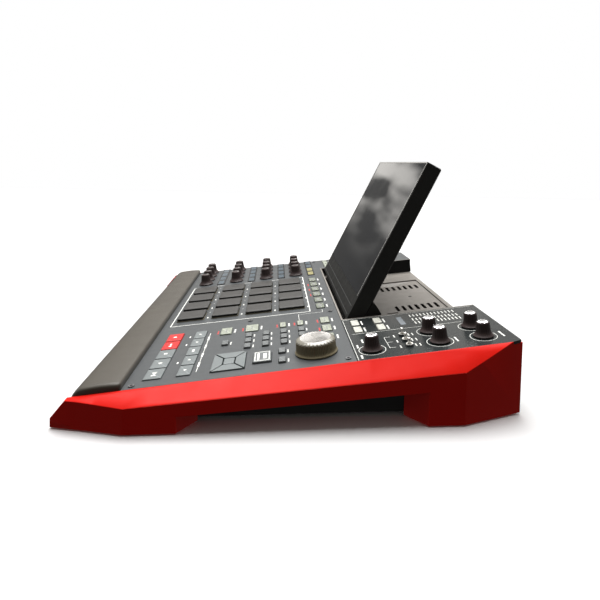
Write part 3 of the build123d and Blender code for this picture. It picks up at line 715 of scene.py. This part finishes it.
# ---- printed marks -------------------------------------------------------------------------------
def micro_label(mesh, x, y, width, height=1.5, low=0.0):
    """A small caption drawn as a row of short bars, which spells nothing."""
    shares = (0.34, 0.18, 0.27, 0.21)
    gap = 0.5
    count = 4 if width > 9 else 3 if width > 5 else 2
    used = shares[:count]
    free = width - gap * (count - 1)
    left = x - width / 2
    for share in used:
        bar = free * share / sum(used)
        plate(mesh, left + bar / 2, y, bar, height, low=low, corner=0.25)
        left += bar + gap


def triangle_mark(mesh, x, y, size, turn, low):
    """A small arrowhead."""
    angles = [turn + corner * 2 * pi / 3 for corner in range(3)]
    points = [(x + size * cos(angle), y + size * sin(angle)) for angle in angles]
    prism(mesh, points, low, low + PRINT_RISE)


def dot_mark(mesh, x, y, radius, low):
    """A small round mark."""
    angles = [2 * pi * step / 20 for step in range(20)]
    points = [(x + radius * cos(angle), y + radius * sin(angle)) for angle in angles]
    prism(mesh, points, low, low + PRINT_RISE)


# ---- operators -----------------------------------------------------------------------------------
class PAD_OT_shell(Operator):
    """Finish the case, cheeks, panels, screen bay, boards and feet"""

    bl_idname = "pad_controller.shell"
    bl_label = "Shell"

    def execute(self, context):
        edge = sizes().edge
        red = satin_red_paint()
        coat_node("right_cheek", red, edge)
        coat_node("left_cheek", red, edge)
        coat_node("top_panel", powder_coat(), SHEET_EDGE)
        coat_node("audio_panel", semi_gloss_sheet(), SHEET_EDGE)
        coat_node("screen_well", bay_paint(), BAY_EDGE)
        coat_node("bottom_case", case_grain(), edge)
        coat_node("rubber_feet", foot_rubber(), edge)
        coat_node("circuit_boards", circuit_board())
        black_steel = bare_metal("black_steel", (0.16, 0.16, 0.165), 0.32, 400.0)
        coat_node("panel_fasteners", black_steel, METAL_EDGE)
        return {"FINISHED"}


class PAD_OT_palm_rest(Operator):
    """Build the soft palm rest across the front"""

    bl_idname = "pad_controller.palm_rest"
    bl_label = "Palm rest"

    def section(self, low, high, inset, floor):
        """Points round the rest's section as (Y, Z), drawn in by an inset and kept above a floor."""
        round_depth, round_height = 2.6, 2.4
        crown_span, crown_fall = 26.4, 2.8
        rear = high.y / MM - 0.2 - inset
        top = high.z / MM - inset
        front = low.y / MM + inset
        base = low.z / MM + inset * 0.3
        points = [(rear - 0.6, base), (rear, base + 1.5), (rear, top - 3.4)]
        for step in range(6):
            angle = step / 5 * pi / 2
            y = rear - round_depth + round_depth * cos(angle)
            points.append((y, top - round_depth + round_height * sin(angle)))
        for share in (0.2, 0.45, 0.7, 0.9):
            points.append((rear - round_depth - crown_span * share, top - 0.2 - crown_fall * share * share))
        crown = (rear - 29.2, top - 3.0)
        nose = (front, base + 12.4)
        for step in range(1, 7):
            angle = step / 6 * pi / 2
            y = crown[0] - (crown[0] - nose[0]) * sin(angle)
            points.append((y, nose[1] + (crown[1] - nose[1]) * cos(angle)))
        points += [(front + 0.8, base + 6.0), (front + 2.0, base + 1.2), (front + 3.8, base)]
        return [(y, max(z, floor(y))) for y, z in points]

    def execute(self, context):
        low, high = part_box("wrist_rest")
        half, core = high.x / MM, CORE_HALF_WIDTH
        start_y, start_z = PANEL.translation.y / MM, PANEL.translation.z / MM

        def ledge(y):
            """Height of a cheek's ledge, which carries the rest's two ends."""
            return start_z + (y - start_y) * tan(SLOPE) - LEDGE_DROP

        def table(_y):
            """Height of what the rest's middle stands over."""
            return 0.0

        lip = [(0.25, 3.6), (0.7, 2.0), (1.6, 0.9), (3.0, 0.25)]
        right = [(half - back, inset, ledge) for back, inset in lip]
        right += [(core + 0.05, 0.0, ledge), (core, 0.0, table)]
        right += [(core * share, 0.0, table) for share in (0.75, 0.5, 0.25)]
        left = [(-x, inset, floor) for x, inset, floor in right]
        stations = left + [(0.0, 0.0, table)] + right[::-1]
        rings = []
        for x, inset, floor in stations:
            rings.append([(x, y, z) for y, z in self.section(low, high, inset, floor)])
        mesh = bmesh.new()
        skin_rings(mesh, rings)
        rest = finish_piece(
            "palm_rest", mesh, "chassis", [rest_skin()],
            place=Matrix.Identity(4), nodes=["wrist_rest"], smooth_angle=50.0,
        )
        return {"FINISHED"}


class PAD_OT_pads(Operator):
    """Build the sixteen silicone pads"""

    bl_idname = "pad_controller.pads"
    bl_label = "Pads"

    def execute(self, context):
        skins = [pad_silicone(), skirt_silicone_painted_glow(), flank_painted_shade()]
        edge = sizes().pad_edge / MM
        foot = 1.1
        for node in numbered("pad"):
            x, y, width, _depth, top = key_boxes(node)[0]
            side = width - 2.6
            mesh = bmesh.new()
            cap(mesh, x, y, side, side, foot, top, 2.2, edge, dish=-0.35)
            # The upright flanks take slot 2, a near-black painted shade.
            cap(mesh, x, y, side + 0.12, side + 0.12, foot, top - 1.0, 2.25, 0.15, paint=2)
            cap(mesh, x, y, side + 0.1, side + 0.1, -3.0, foot, 2.0, 0.2, paint=1)
            plate(mesh, x, y, width - 0.4, width - 0.4, low=-6.0, rise=2.2, corner=2.0)
            finish_piece(f"{node}_cap", mesh, node, skins, nodes=[node])
        return {"FINISHED"}


class PAD_OT_encoders(Operator):
    """Build the sixteen fluted encoder knobs"""

    bl_idname = "pad_controller.encoders"
    bl_label = "Encoder knobs"

    def execute(self, context):
        mesh = bmesh.new()
        stem = [(3.0, -6.8), (3.0, 0.8)]
        skirt = [(10.3, 0.8), (10.8, 1.15), (10.75, 1.6), (9.9, 2.4), (8.9, 3.5), (8.1, 4.8)]
        body = [(7.35 - 0.2 * step, 6.2 + 1.72 * step) for step in range(6)]
        crown = [(6.15, 15.5), (5.7, 16.1), (5.1, 16.4), (4.5, 16.1), (0.4, 16.0)]
        turned(mesh, stem + skirt + body + crown, sizes().flutes * 6, fluting(6.2, 3.4, 15.4, 0.32))
        plate(mesh, 0.0, 3.2, 0.9, 3.2, low=16.05, rise=0.3)
        for face in mesh.faces:
            foot = min(vertex.co.z for vertex in face.verts)
            reach = max(abs(vertex.co.x) for vertex in face.verts)
            if foot > 16.04 and reach < 0.5:
                face.material_index = 1
        pointer = printed("pointer_white", colours().print_white)
        data = mesh_data("encoder_knob", mesh, [knob_soft_touch(), pointer])
        for node in numbered("encoder"):
            place_piece(f"{node}_knob", data, node, spindle(f"{node}_turn"), [node])
        return {"FINISHED"}


class PAD_OT_level_knobs(Operator):
    """Build the skirted level knobs with bright caps"""

    bl_idname = "pad_controller.level_knobs"
    bl_label = "Level knobs"

    def execute(self, context):
        mesh = bmesh.new()
        stem = [(3.0, -6.8), (3.0, 0.7)]
        skirt = [(9.4, 0.7), (9.95, 1.1), (9.9, 1.7), (9.0, 2.5), (8.1, 3.6), (7.5, 5.0)]
        body = [(7.2 - 0.13 * step, 6.4 + 1.4 * step) for step in range(6)]
        crown = [(6.45, 14.1), (6.1, 14.5), (5.5, 14.6), (0.4, 14.6)]
        turned(mesh, stem + skirt + body + crown, sizes().flutes * 6, fluting(5.9, 3.4, 14.8, 0.3))
        data = mesh_data("level_knob", mesh, [knob_soft_touch()])

        def facet(angle, radius, _height):
            """Eight soft points round the cap."""
            return 0.7 * cos(angle * 8) if radius > 3.0 else 0.0

        bright = bmesh.new()
        dome = [(5.2, 14.4), (5.2, 15.0), (4.7, 15.4), (3.4, 15.65), (1.6, 15.35), (0.3, 15.3)]
        turned(bright, dome, 64, facet)
        chrome = bare_metal("cap_chrome", (0.82, 0.82, 0.84), 0.14, 300.0)
        bright_data = mesh_data("level_cap", bright, [chrome])
        for node in numbered("level_knob"):
            place = spindle(f"{node}_turn")
            place_piece(f"{node}_body", data, node, place, [node])
            place_piece(f"{node}_bright_cap", bright_data, node, place)
        return {"FINISHED"}


class PAD_OT_dial(Operator):
    """Build the ribbed data dial with its scalloped ring and spun disc"""

    bl_idname = "pad_controller.dial"
    bl_label = "Data dial"

    def ribbed_side(self, seat):
        """The dial's side, up to the seat of its disc."""
        ribs = sizes().ribs

        def rib(angle, _radius, height):
            """Ribs round the grip."""
            if not 2.4 < height < seat - 0.1:
                return 0.0
            return -0.42 * max(0.0, cos(angle * ribs))

        mesh = bmesh.new()
        foot = [(3.0, -6.8), (3.0, 0.6), (20.3, 0.6), (20.75, 0.9), (20.7, 1.7), (20.2, 2.3), (19.9, 3.0)]
        grip = [(19.6 - 0.08 * step, 4.6 + (seat - 5.0) * step / 5) for step in range(6)]
        crown = [(19.1, seat - 0.02), (0.5, seat - 0.02)]
        turned(mesh, foot + [(19.7, 4.0)] + grip + crown, ribs * 4, rib)
        return mesh

    def scalloped_disc(self, seat, top):
        """The disc with a scalloped ring round it."""
        ring_inside = 14.7

        def scallop(angle, radius, _height):
            """Thirty finger scallops, deepest at the rim."""
            share = max(0.0, (radius - 16.0) / 3.0)
            return -0.75 * share * max(0.0, cos(angle * 30)) ** 3

        mesh = bmesh.new()
        ring = [(19.0, 0.0), (19.15, 0.5), (18.9, 1.1), (18.1, 1.7), (17.2, 2.2)]
        disc = [(16.1, 0.3), (15.4, 0.02), (15.0, 0.0), (14.6, 0.12), (0.4, 0.12)]
        profile = [(radius, seat + rise) for radius, rise in ring]
        profile += [(radius, top - drop) for radius, drop in disc]
        turned(mesh, profile, 240, scallop)
        for face in mesh.faces:
            if all(vertex.co.xy.length > ring_inside for vertex in face.verts):
                face.material_index = 1
        return mesh

    def execute(self, context):
        seat, top = key_boxes("data_dial")[0][4], key_boxes("dial_cap")[0][4]
        place = spindle("dial_turn")
        side = self.ribbed_side(seat)
        finish_piece("dial_ribbed_side", side, "dial", [dial_skin()], place, ["data_dial"])
        disc = self.scalloped_disc(seat, top)
        skins = [spun_metal(), dial_ring_skin()]
        finish_piece("dial_spun_disc", disc, "dial", skins, place, ["dial_cap"])
        return {"FINISHED"}


class PAD_OT_keys(Operator):
    """Build every key with its dished top and its printed sign"""

    bl_idname = "pad_controller.keys"
    bl_label = "Keys"

    def caps(self, name, boxes, body, material, slot, corner, dish, nodes=()):
        """One piece of the caps of a bank's keys."""
        mesh = bmesh.new()
        for x, y, width, depth, top in boxes:
            cap(mesh, x, y, width, depth, top - 5.0, top, corner, sizes().key_edge / MM, dish)
        finish_piece(name, mesh, body, [material], nodes=nodes)

    def transport(self):
        """The grey and the red transport keys."""
        boxes = key_boxes("transport_keys")
        front, rear = boxes[:5], boxes[5:]
        grey = key_skin("key_grey_skin", colours().key_grey)
        red = key_skin("key_red_skin", colours().key_red)
        keys = front[2:] + rear
        self.caps("transport_grey", keys, "transport", grey, "key_grey", 1.0, 0.12, ["transport_keys"])
        self.caps("transport_red", front[:2], "transport", red, "key_grey", 1.0, 0.12)
        self.transport_signs(front, rear)

    def transport_signs(self, front, rear):
        """Plain dots, bars and arrowheads on the transport keys."""
        mesh = bmesh.new()
        low = front[0][4] - 0.02
        record, overdub, stop, play, restart = [key[:2] for key in front]
        dot_mark(mesh, *record, 1.9, low)
        plate(mesh, overdub[0] - 1.6, overdub[1], 5.0, 2.0, low)
        dot_mark(mesh, overdub[0] + 3.6, overdub[1], 1.6, low)
        plate(mesh, *stop, 3.4, 3.4, low)
        triangle_mark(mesh, *play, 2.6, 0.0, low)
        plate(mesh, restart[0] - 2.6, restart[1], 1.0, 4.4, low)
        triangle_mark(mesh, restart[0] + 0.2, restart[1], 2.5, 0.0, low)
        plate(mesh, restart[0] + 4.2, restart[1], 2.0, 4.4, low)
        for (x, y, *_), turn in zip(rear, (pi, 0.0, None, pi, 0.0)):
            if turn is None:
                micro_label(mesh, x, y, 7.0, 2.4, low)
            else:
                triangle_mark(mesh, x, y, 2.0, turn, low)
        ink = printed("sign_white", colours().print_white)
        finish_piece("transport_signs", mesh, "transport", [ink])

    def small(self):
        """The small dark keys and the wide one among them."""
        boxes = key_boxes("small_keys")
        wide = [box for box in boxes if box[2] > SMALL_KEY_LIMIT]
        narrow = [box for box in boxes if box[2] <= SMALL_KEY_LIMIT]
        dark = key_skin("key_dark_skin", colours().key_black)
        shift = key_skin("key_shift_skin", colours().key_black)
        self.caps("small_dark_keys", narrow, "small_keys", dark, "key_black", 0.8, 0.25, ["small_keys"])
        self.caps("shift_key", wide, "small_keys", shift, "key_black", 1.2, 0.1)
        self.shift_print(wide)

    def shift_print(self, keys):
        """A printed frame and generic marks on the wide key."""
        inset, line = 2.0, 0.9
        mesh = bmesh.new()
        for x, y, width, depth, top in keys:
            for side in (-1, 1):
                plate(mesh, x, y + side * (depth / 2 - inset), width - 3.0, line, low=top - 0.03)
                plate(mesh, x + side * (width / 2 - inset), y, line, depth - 3.0, low=top - 0.03)
            micro_label(mesh, x, y + 2.6, 13.0, 3.2, low=top - 0.08)
            plate(mesh, x, y - 3.6, 17.0, 2.0, low=top - 0.08)
        ink = printed("shift_white", colours().print_white)
        finish_piece("shift_key_print", mesh, "small_keys", [ink])

    def pale(self):
        """The keys that light up: dim function keys, bright channel keys and the rest."""
        boxes = key_boxes("pale_keys")
        function = [box for box in boxes if is_function_key(box)]
        channel = [box for box in boxes if is_channel_key(box)]
        others = [box for box in boxes if box not in function and box not in channel]
        skin = lit_key_skin("key_pale_skin", colours().key_pale)
        self.caps("pale_caps", others, "pale_keys", skin, "key_pale", 1.1, 0.18, ["pale_keys"])
        skin = lit_key_skin("key_dim_skin", colours().key_dim)
        self.caps("function_caps", function, "pale_keys", skin, "key_pale", 1.1, 0.18)
        skin = lit_key_skin("key_lit_skin", colours().key_lit)
        self.caps("channel_caps", channel, "pale_keys", skin, "key_pale", 1.6, 0.18)
        self.pale_icons(function, others)

    def pale_icons(self, function, others):
        """Two blocks on each function key and a caption on each wide key right of the pads."""
        sink = 0.14
        mesh = bmesh.new()
        for x, y, _width, _depth, top in function:
            for side in (-1, 1):
                plate(mesh, x + side * 1.9, y, 3.0, 4.4, low=top - sink, rise=0.1, corner=0.6)
        for x, y, width, _depth, top in others:
            if width > 14 and x > PADS_RIGHT:
                micro_label(mesh, x, y, width * 0.5, 1.6, low=top - sink)
        ink = printed("icon_grey", (0.12, 0.12, 0.115))
        finish_piece("lit_key_icons", mesh, "pale_keys", [ink])

    def execute(self, context):
        self.transport()
        self.small()
        coat_node("cursor_keys", key_skin("key_cursor_skin", colours().key_grey), CURSOR_EDGE)
        self.pale()
        return {"FINISHED"}


class PAD_OT_toggles(Operator):
    """Build the chrome toggle levers and their bushes"""

    bl_idname = "pad_controller.toggles"
    bl_label = "Toggles"

    def execute(self, context):
        chrome = bare_metal("toggle_chrome", (0.95, 0.93, 0.88), 0.36, 500.0)
        bats, bushes = bmesh.new(), bmesh.new()
        for x, y, _width, _depth, top in key_boxes("toggle_levers"):
            shank = [(0.3, -3.9), (1.0, -3.4), (1.05, 2.4), (1.35, 4.6)]
            tip = [(1.6, top - 1.7), (1.55, top - 0.9), (1.15, top - 0.3), (0.3, top - 0.02)]
            turned(bats, shank + tip, 24, x=x, y=y)
            hoop(bushes, x, y, 2.45, 0.9, rise=2.3, segments=28)
        finish_piece("toggle_bats", bats, "toggles", [chrome], nodes=["toggle_levers"])
        finish_piece("toggle_bushes", bushes, "chassis", [chrome])
        return {"FINISHED"}


class PAD_OT_displays(Operator):
    """Build the display strips with four unlit windows each"""

    bl_idname = "pad_controller.displays"
    bl_label = "Display strips"

    def execute(self, context):
        strip_glass = dark_glass("strip_gloss", (0.008, 0.009, 0.010), 0.2, 0.08)
        coat_node("display_strips", strip_glass, STRIP_EDGE)
        cold, warm = bmesh.new(), bmesh.new()
        columns = sorted({round(JOINTS[f"encoder_{n}_turn"]["pos_m"][0] / MM, 2) for n in range(1, 5)})
        strips = key_boxes("display_strips")
        for strip in strips:
            _x, y, _width, depth, top = strip
            for x in columns:
                mesh = warm if strip is strips[-1] and x in columns[2:] else cold
                plate(mesh, x, y, 21.0, depth - 3.6, low=top - 0.02, rise=0.1, corner=0.8)
        window = dark_glass("window_gloss", colours().window, 0.2, 0.1)
        finish_piece("display_windows", cold, "chassis", [window])
        window = dark_glass("window_warm_gloss", colours().window_warm, 0.2, 0.1)
        finish_piece("warm_windows", warm, "chassis", [window])
        return {"FINISHED"}


class PAD_OT_screen(Operator):
    """Finish the folding screen, its glass, its hinge drum and trim"""

    bl_idname = "pad_controller.screen"
    bl_label = "Screen"

    def reach(self, node, out):
        """How far a node goes along a direction."""
        piece = NODES[node]
        return max((piece.matrix_world @ vertex.co).dot(out) for vertex in piece.data.vertices)

    def trim(self):
        """Fine seams across the plain band under the glass and an edge line round the glass."""
        frame_low, frame_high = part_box("screen_frame")
        glass_low, glass_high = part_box("screen_glass")
        up = Vector((0.0, glass_high.y - glass_low.y, glass_high.z - glass_low.z)).normalized()
        out = RIGHT.cross(up)
        foot = Vector(((frame_low.x + frame_high.x) / 2, frame_low.y, frame_low.z))
        face = max(self.reach(node, out) for node in ("screen_frame", "screen_glass"))
        foot += out * (face - foot.dot(out))
        place = Matrix.Translation(foot) @ Matrix((RIGHT, up, out)).transposed().to_4x4()
        sunk = {"low": -0.01, "rise": 0.08}
        seam_width = 0.7
        seam = bmesh.new()
        width = (frame_high.x - frame_low.x) / MM
        for height in SCREEN_SEAMS:
            plate(seam, 0.0, height, width - 8.0, seam_width, **sunk)
        finish_piece("screen_seams", seam, "screen", [seam_skin()], place)
        bead_width = 0.8
        start = (glass_low - frame_low).dot(up) / MM
        end = (glass_high - frame_low).dot(up) / MM
        half = (glass_high.x - glass_low.x) / MM / 2
        edge = bmesh.new()
        for side in (-1, 1):
            plate(edge, side * half, (start + end) / 2, bead_width, end - start, **sunk)
        plate(edge, 0.0, end, half * 2, bead_width, **sunk)
        finish_piece("screen_edge_line", edge, "screen", [edge_skin()], place)

    def execute(self, context):
        shell = screen_shell()
        for node in ("screen_frame", "screen_back_cover"):
            coat_node(node, shell, SCREEN_EDGE)
        coat_node("screen_hinge", shell, HINGE_EDGE)
        coat_node("screen_glass", dark_glass("screen_gloss", (0.005, 0.006, 0.008), 0.03, 0.35))
        self.trim()
        return {"FINISHED"}


class PAD_OT_bay(Operator):
    """Add a painted shade sheet over the bay's end wall, and the screw of the screen bay"""

    bl_idname = "pad_controller.bay"
    bl_label = "Screen bay trim"

    def execute(self, context):
        floor = bay_floor()
        # A thin near-black sheet over the bay's left end wall: painted shade.
        wall = bmesh.new()
        front, rear = level(BAY_FRONT), level(BAY_REAR)
        middle = (front + rear) / 2
        plate(wall, BAY_LEFT, middle, 0.3, rear - front, low=floor + 0.1, rise=-0.3 - floor)
        finish_piece("bay_end_shade_sheet", wall, "chassis", [bay_wall_painted_shade()])
        screw = bmesh.new()
        sink = floor - VENT_SINK
        head = [(2.3, sink - 0.1), (2.3, sink + 0.2), (2.0, sink + 0.3), (0.3, sink + 0.1)]
        turned(screw, head, 24, x=BAY_SCREW[0], y=level(BAY_SCREW[1]))
        steel = bare_metal("bay_screw_steel", (0.05, 0.05, 0.05), 0.4, 400.0)
        finish_piece("bay_screw", screw, "chassis", [steel])
        return {"FINISHED"}


class PAD_OT_print(Operator):
    """Print the panel's lines, rings and generic marks"""

    bl_idname = "pad_controller.print"
    bl_label = "Printing"

    def pad_print(self, mesh, line):
        """The frame line round the pads, and a caption and a dot behind each pad."""
        first, last = key_boxes("pad_1")[0], key_boxes("pad_16")[0]
        left, right = first[0] - 31.0, last[0] + 32.0
        low, high = first[1] - 21.3, last[1] + 22.4
        outline(mesh, (left + right) / 2, (low + high) / 2, right - left, high - low, line)
        behind = 20.4
        for node in numbered("pad"):
            x, y = key_boxes(node)[0][:2]
            plate(mesh, x + 9.5, y + behind, 4.6, 1.6)
            dot_mark(mesh, x - 12.5, y + behind, 0.7, 0.0)

    def key_print(self, mesh, red):
        """White captions behind the keys and red ones in front of some."""
        for x, y, width, depth, _top in key_boxes("small_keys"):
            if width < SMALL_KEY_LIMIT:
                micro_label(mesh, x, y + depth / 2 + 2.6, 7.0, 1.3)
        for box in key_boxes("pale_keys"):
            x, y, width, depth, _top = box
            if is_channel_key(box):
                micro_label(mesh, x, y + depth / 2 + 3.2, 12.0, 1.7)
                continue
            micro_label(mesh, x, y + depth / 2 + 3.6, min(width - 5.0, 11.0), 1.8)
            if y < MIXER_FRONT and (-70 < x < 0 or x > 100):
                micro_label(red, x, y - depth / 2 - 3.2, min(width - 6.0, 10.0), 1.6)

    def transport_print(self, mesh):
        """A broken line of bars and captions behind the transport keys, and three dashes between."""
        rear = key_boxes("transport_keys")[5:]
        left, right = rear[0][0] - 4.0, rear[-1][0] + 6.0
        y = rear[0][1] + 10.7
        x = left
        for index in range(9):
            step = (right - left) / 9
            if index % 2:
                micro_label(mesh, x + step / 2, y, step - 1.0, 2.0)
            else:
                plate(mesh, x + step / 2, y, step - 1.6, 0.6)
            x += step
        for x in (rear[0][0] + 2.4, rear[1][0] + 2.2, rear[3][0] + 2.0):
            plate(mesh, x, level(-114.9), 4.6, 1.4)

    def mixer_print(self, mesh, line):
        """Lines, rings and captions of the mixer corner, places given level with the table."""
        low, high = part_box("audio_panel")
        left, right = low.x / MM + 2.0, high.x / MM - 1.0
        plate(mesh, (left + right) / 2, level(54.6), right - left, line)
        plate(mesh, left, level(130.0), line, level(150.0))
        plate(mesh, 166.5, level(117.0), line, level(118.0))
        for node in numbered("level_knob"):
            spot = PANEL_INVERSE @ Vector(JOINTS[f"{node}_turn"]["pos_m"])
            hoop(mesh, spot.x / MM, spot.y / MM, 12.6, 0.55)
        for x, y, width in MIXER_CAPTIONS:
            micro_label(mesh, x, level(y), width, 1.8)
        for x in (186.0, 200.5, 215.0):
            for y in (98.5, 113.4, 117.6):
                micro_label(mesh, x, level(y), 6.0, 1.3)
        plate(mesh, 200.5, level(88.0), 29.0, line)
        for x in (186.3, 200.5, 214.7):
            plate(mesh, x, level(91.0), line, 6.0)
        for x in METER_COLUMNS:
            for row in range(13):
                plate(mesh, x, level(130.0 + 4.15 * row), 7.6, 1.3)

    def guide_line(self, mesh, line):
        """The thin stepped line from the pads to the lit keys."""
        plate(mesh, 71.5, level(36.0), 11.0, line)
        plate(mesh, 77.0, level(21.2), line, level(30.0))
        plate(mesh, 90.0, level(6.5), 26.0, line)

    def sensor_windows(self):
        """Small dark windows between the function keys."""
        mesh = bmesh.new()
        keys = [box for box in key_boxes("pale_keys") if is_function_key(box)]
        for near, far in zip(keys, keys[1:]):
            plate(mesh, (near[0] + far[0]) / 2, near[1], 5.0, 5.0, rise=0.4, corner=0.6)
        finish_piece("sensor_windows", mesh, "chassis", [sensor_skin()])

    def execute(self, context):
        line, thin = sizes().line / MM, sizes().thin_line / MM
        white, red, label = bmesh.new(), bmesh.new(), bmesh.new()
        self.pad_print(white, line)
        self.key_print(white, red)
        self.transport_print(white)
        self.mixer_print(white, thin)
        self.guide_line(white, thin)
        plate(label, 142.0, level(116.5), 26.0, 6.0)
        ink = printed("ink_white", colours().print_white)
        finish_piece("white_print", white, "chassis", [ink])
        ink = printed("ink_grey", colours().label)
        finish_piece("level_label", label, "chassis", [ink])
        ink = printed("ink_red", colours().print_red)
        finish_piece("red_print", red, "chassis", [ink])
        self.sensor_windows()
        return {"FINISHED"}


class PAD_OT_sockets(Operator):
    """Build the collars of the rear sockets, with a near-black painted shade disc in each bore"""

    bl_idname = "pad_controller.sockets"
    bl_label = "Rear sockets"

    def execute(self, context):
        plating = bare_metal("socket_plating", (0.5, 0.5, 0.52), 0.25, 400.0)
        coat_node("rear_sockets", plating, METAL_EDGE)
        rear = Matrix(((-1, 0, 0, 0), (0, 0, 1, 0), (0, 1, 0, 0), (0, 0, 0, 1)))
        collars, shade_discs = bmesh.new(), bmesh.new()
        for x, y, _width, _depth, top in key_boxes("rear_sockets", rear.inverted()):
            hoop(collars, x, y, 3.3, 1.0, low=top - 0.05, rise=0.3, segments=32)
            # A near-black disc 1 mm down each bore: painted shade.
            turned(shade_discs, [(2.9, top - 1.3), (2.9, top - 1.0), (0.3, top - 1.0)], 24, x=x, y=y)
        finish_piece("socket_collars", collars, "chassis", [plating], rear)
        finish_piece("socket_shade_discs", shade_discs, "chassis", [bore_painted_shade()], rear)
        return {"FINISHED"}


class PAD_OT_stage(Operator):
    """Lay the floor, hang the soft lights and set the camera"""

    bl_idname = "pad_controller.stage"
    bl_label = "Stage"

    def lamp(self, name, kind, place, power):
        """A lamp that looks from its place at the object's origin."""
        data = bpy.data.lights.new(name, kind)
        data.energy = power
        lamp = bpy.data.objects.new(name, data)
        bpy.context.scene.collection.objects.link(lamp)
        lamp.location = place
        lamp.rotation_euler = (-Vector(place)).to_track_quat("-Z", "Y").to_euler()
        return lamp

    def lights(self, floor):
        """An even overhead light for all, and a large strong softbox that the floor doesn't take."""
        sky = self.lamp("sky_light", "SUN", (-0.5, -0.1, 2.0), SKY_POWER)
        sky.data.angle = radians(48.0)
        key = self.lamp("key_light", "AREA", (-0.3, 0.05, 1.4), KEY_POWER)
        key.data.shape = "RECTANGLE"
        key.data.size = KEY_SIZE
        key.data.size_y = KEY_SIZE
        spared = bpy.data.collections.new("not_lit_by_key")
        spared.objects.link(floor)
        spared.collection_objects[0].light_linking.link_state = "EXCLUDE"
        key.light_linking.receiver_collection = spared

    def world(self):
        """White behind the object; what lights and mirrors in it is an uneven wall on its left."""
        world = bpy.data.worlds.new("studio")
        bpy.context.scene.world = world
        world.use_nodes = True
        tree = world.node_tree
        seen = tree.nodes.new("ShaderNodeBackground")
        set_inputs(seen, Color=(1.0, 1.0, 1.0, 1.0))
        room = tree.nodes["Background"]
        set_inputs(room, Color=ROOM_TINT)
        place = tree.nodes.new("ShaderNodeTexCoord").outputs["Generated"]
        axes = tree.nodes.new("ShaderNodeSeparateXYZ")
        tree.links.new(place, axes.inputs["Vector"])
        patches = texture(tree, "Noise", place, Scale=16.0, Detail=2.0)
        uneven = remap(tree, patches.outputs["Fac"], 0.44, 0.62, 0.05, 1.7)
        leftward = remap(tree, axes.outputs["X"], 0.0, -0.85, smooth=True)
        upward = remap(tree, axes.outputs["Z"], 0.0, 0.16, smooth=True)
        wall = maths(tree, "MULTIPLY", maths(tree, "MULTIPLY", uneven, leftward), upward)
        across = maths(tree, "ABSOLUTE", axes.outputs["Y"])
        sideward = remap(tree, across, 0.55, 1.0, smooth=True)
        fill = maths(tree, "MULTIPLY_ADD", sideward, SIDE_GLOW, ROOM_GLOW)
        tree.links.new(maths(tree, "MULTIPLY_ADD", wall, WALL_GLOW, fill), room.inputs["Strength"])
        ray = tree.nodes.new("ShaderNodeLightPath")
        mix = tree.nodes.new("ShaderNodeMixShader")
        tree.links.new(ray.outputs["Is Camera Ray"], mix.inputs["Fac"])
        tree.links.new(room.outputs["Background"], mix.inputs[1])
        tree.links.new(seen.outputs["Background"], mix.inputs[2])
        tree.links.new(mix.outputs["Shader"], tree.nodes["World Output"].inputs["Surface"])

    def floor(self):
        """A plain floor that neither lights the object nor mirrors in it."""
        mesh = bmesh.new()
        plate(mesh, 0.0, 0.0, FLOOR_SIDE, FLOOR_SIDE, low=-2.0, rise=2.0)
        floor = bpy.data.objects.new("floor", mesh_data("floor", mesh, [floor_paint()]))
        bpy.context.scene.collection.objects.link(floor)
        floor.visible_diffuse = False
        floor.visible_glossy = False
        return floor

    def camera(self):
        """A camera low at the object's right."""
        data = bpy.data.cameras.new("camera")
        data.sensor_width = 36.0
        data.lens = LENS
        data.shift_x, data.shift_y = LENS_SHIFT
        data.clip_start = 0.02
        camera = bpy.data.objects.new("camera", data)
        bpy.context.scene.collection.objects.link(camera)
        camera.location = CAMERA_PLACE
        camera.rotation_euler = [radians(turn) for turn in CAMERA_TURN]
        bpy.context.scene.camera = camera

    def execute(self, context):
        floor = self.floor()
        self.world()
        self.camera()
        self.lights(floor)
        bpy.context.scene.view_settings.view_transform = "Standard"
        return {"FINISHED"}


class VIEW3D_PT_pad_controller(Panel):
    """Sidebar panel that lists every build step"""

    bl_label = "Pad Controller"
    bl_space_type = "VIEW_3D"
    bl_region_type = "UI"
    bl_category = "Pad Controller"

    def draw(self, context):
        for step in BUILD_STEPS:
            self.layout.operator(step.bl_idname, text=step.bl_label)
        for group in (colours(), sizes()):
            box = self.layout.box()
            for setting in group.__annotations__:
                box.prop(group, setting)


BUILD_STEPS = (
    PAD_OT_stage,
    PAD_OT_shell,
    PAD_OT_palm_rest,
    PAD_OT_bay,
    PAD_OT_displays,
    PAD_OT_pads,
    PAD_OT_encoders,
    PAD_OT_level_knobs,
    PAD_OT_dial,
    PAD_OT_keys,
    PAD_OT_toggles,
    PAD_OT_print,
    PAD_OT_screen,
    PAD_OT_sockets,
)
CLASSES = (PadControllerColours, PadControllerSizes, *BUILD_STEPS, VIEW3D_PT_pad_controller)


def register():
    for item in CLASSES:
        bpy.utils.register_class(item)
    bpy.types.Scene.pad_controller_colours = PointerProperty(type=PadControllerColours)
    bpy.types.Scene.pad_controller_sizes = PointerProperty(type=PadControllerSizes)


def unregister():
    del bpy.types.Scene.pad_controller_sizes
    del bpy.types.Scene.pad_controller_colours
    for item in reversed(CLASSES):
        bpy.utils.unregister_class(item)


def main():
    register()
    for step in BUILD_STEPS:
        group, name = step.bl_idname.split(".")
        getattr(getattr(bpy.ops, group), name)()


if __name__ == "__main__":
    main()
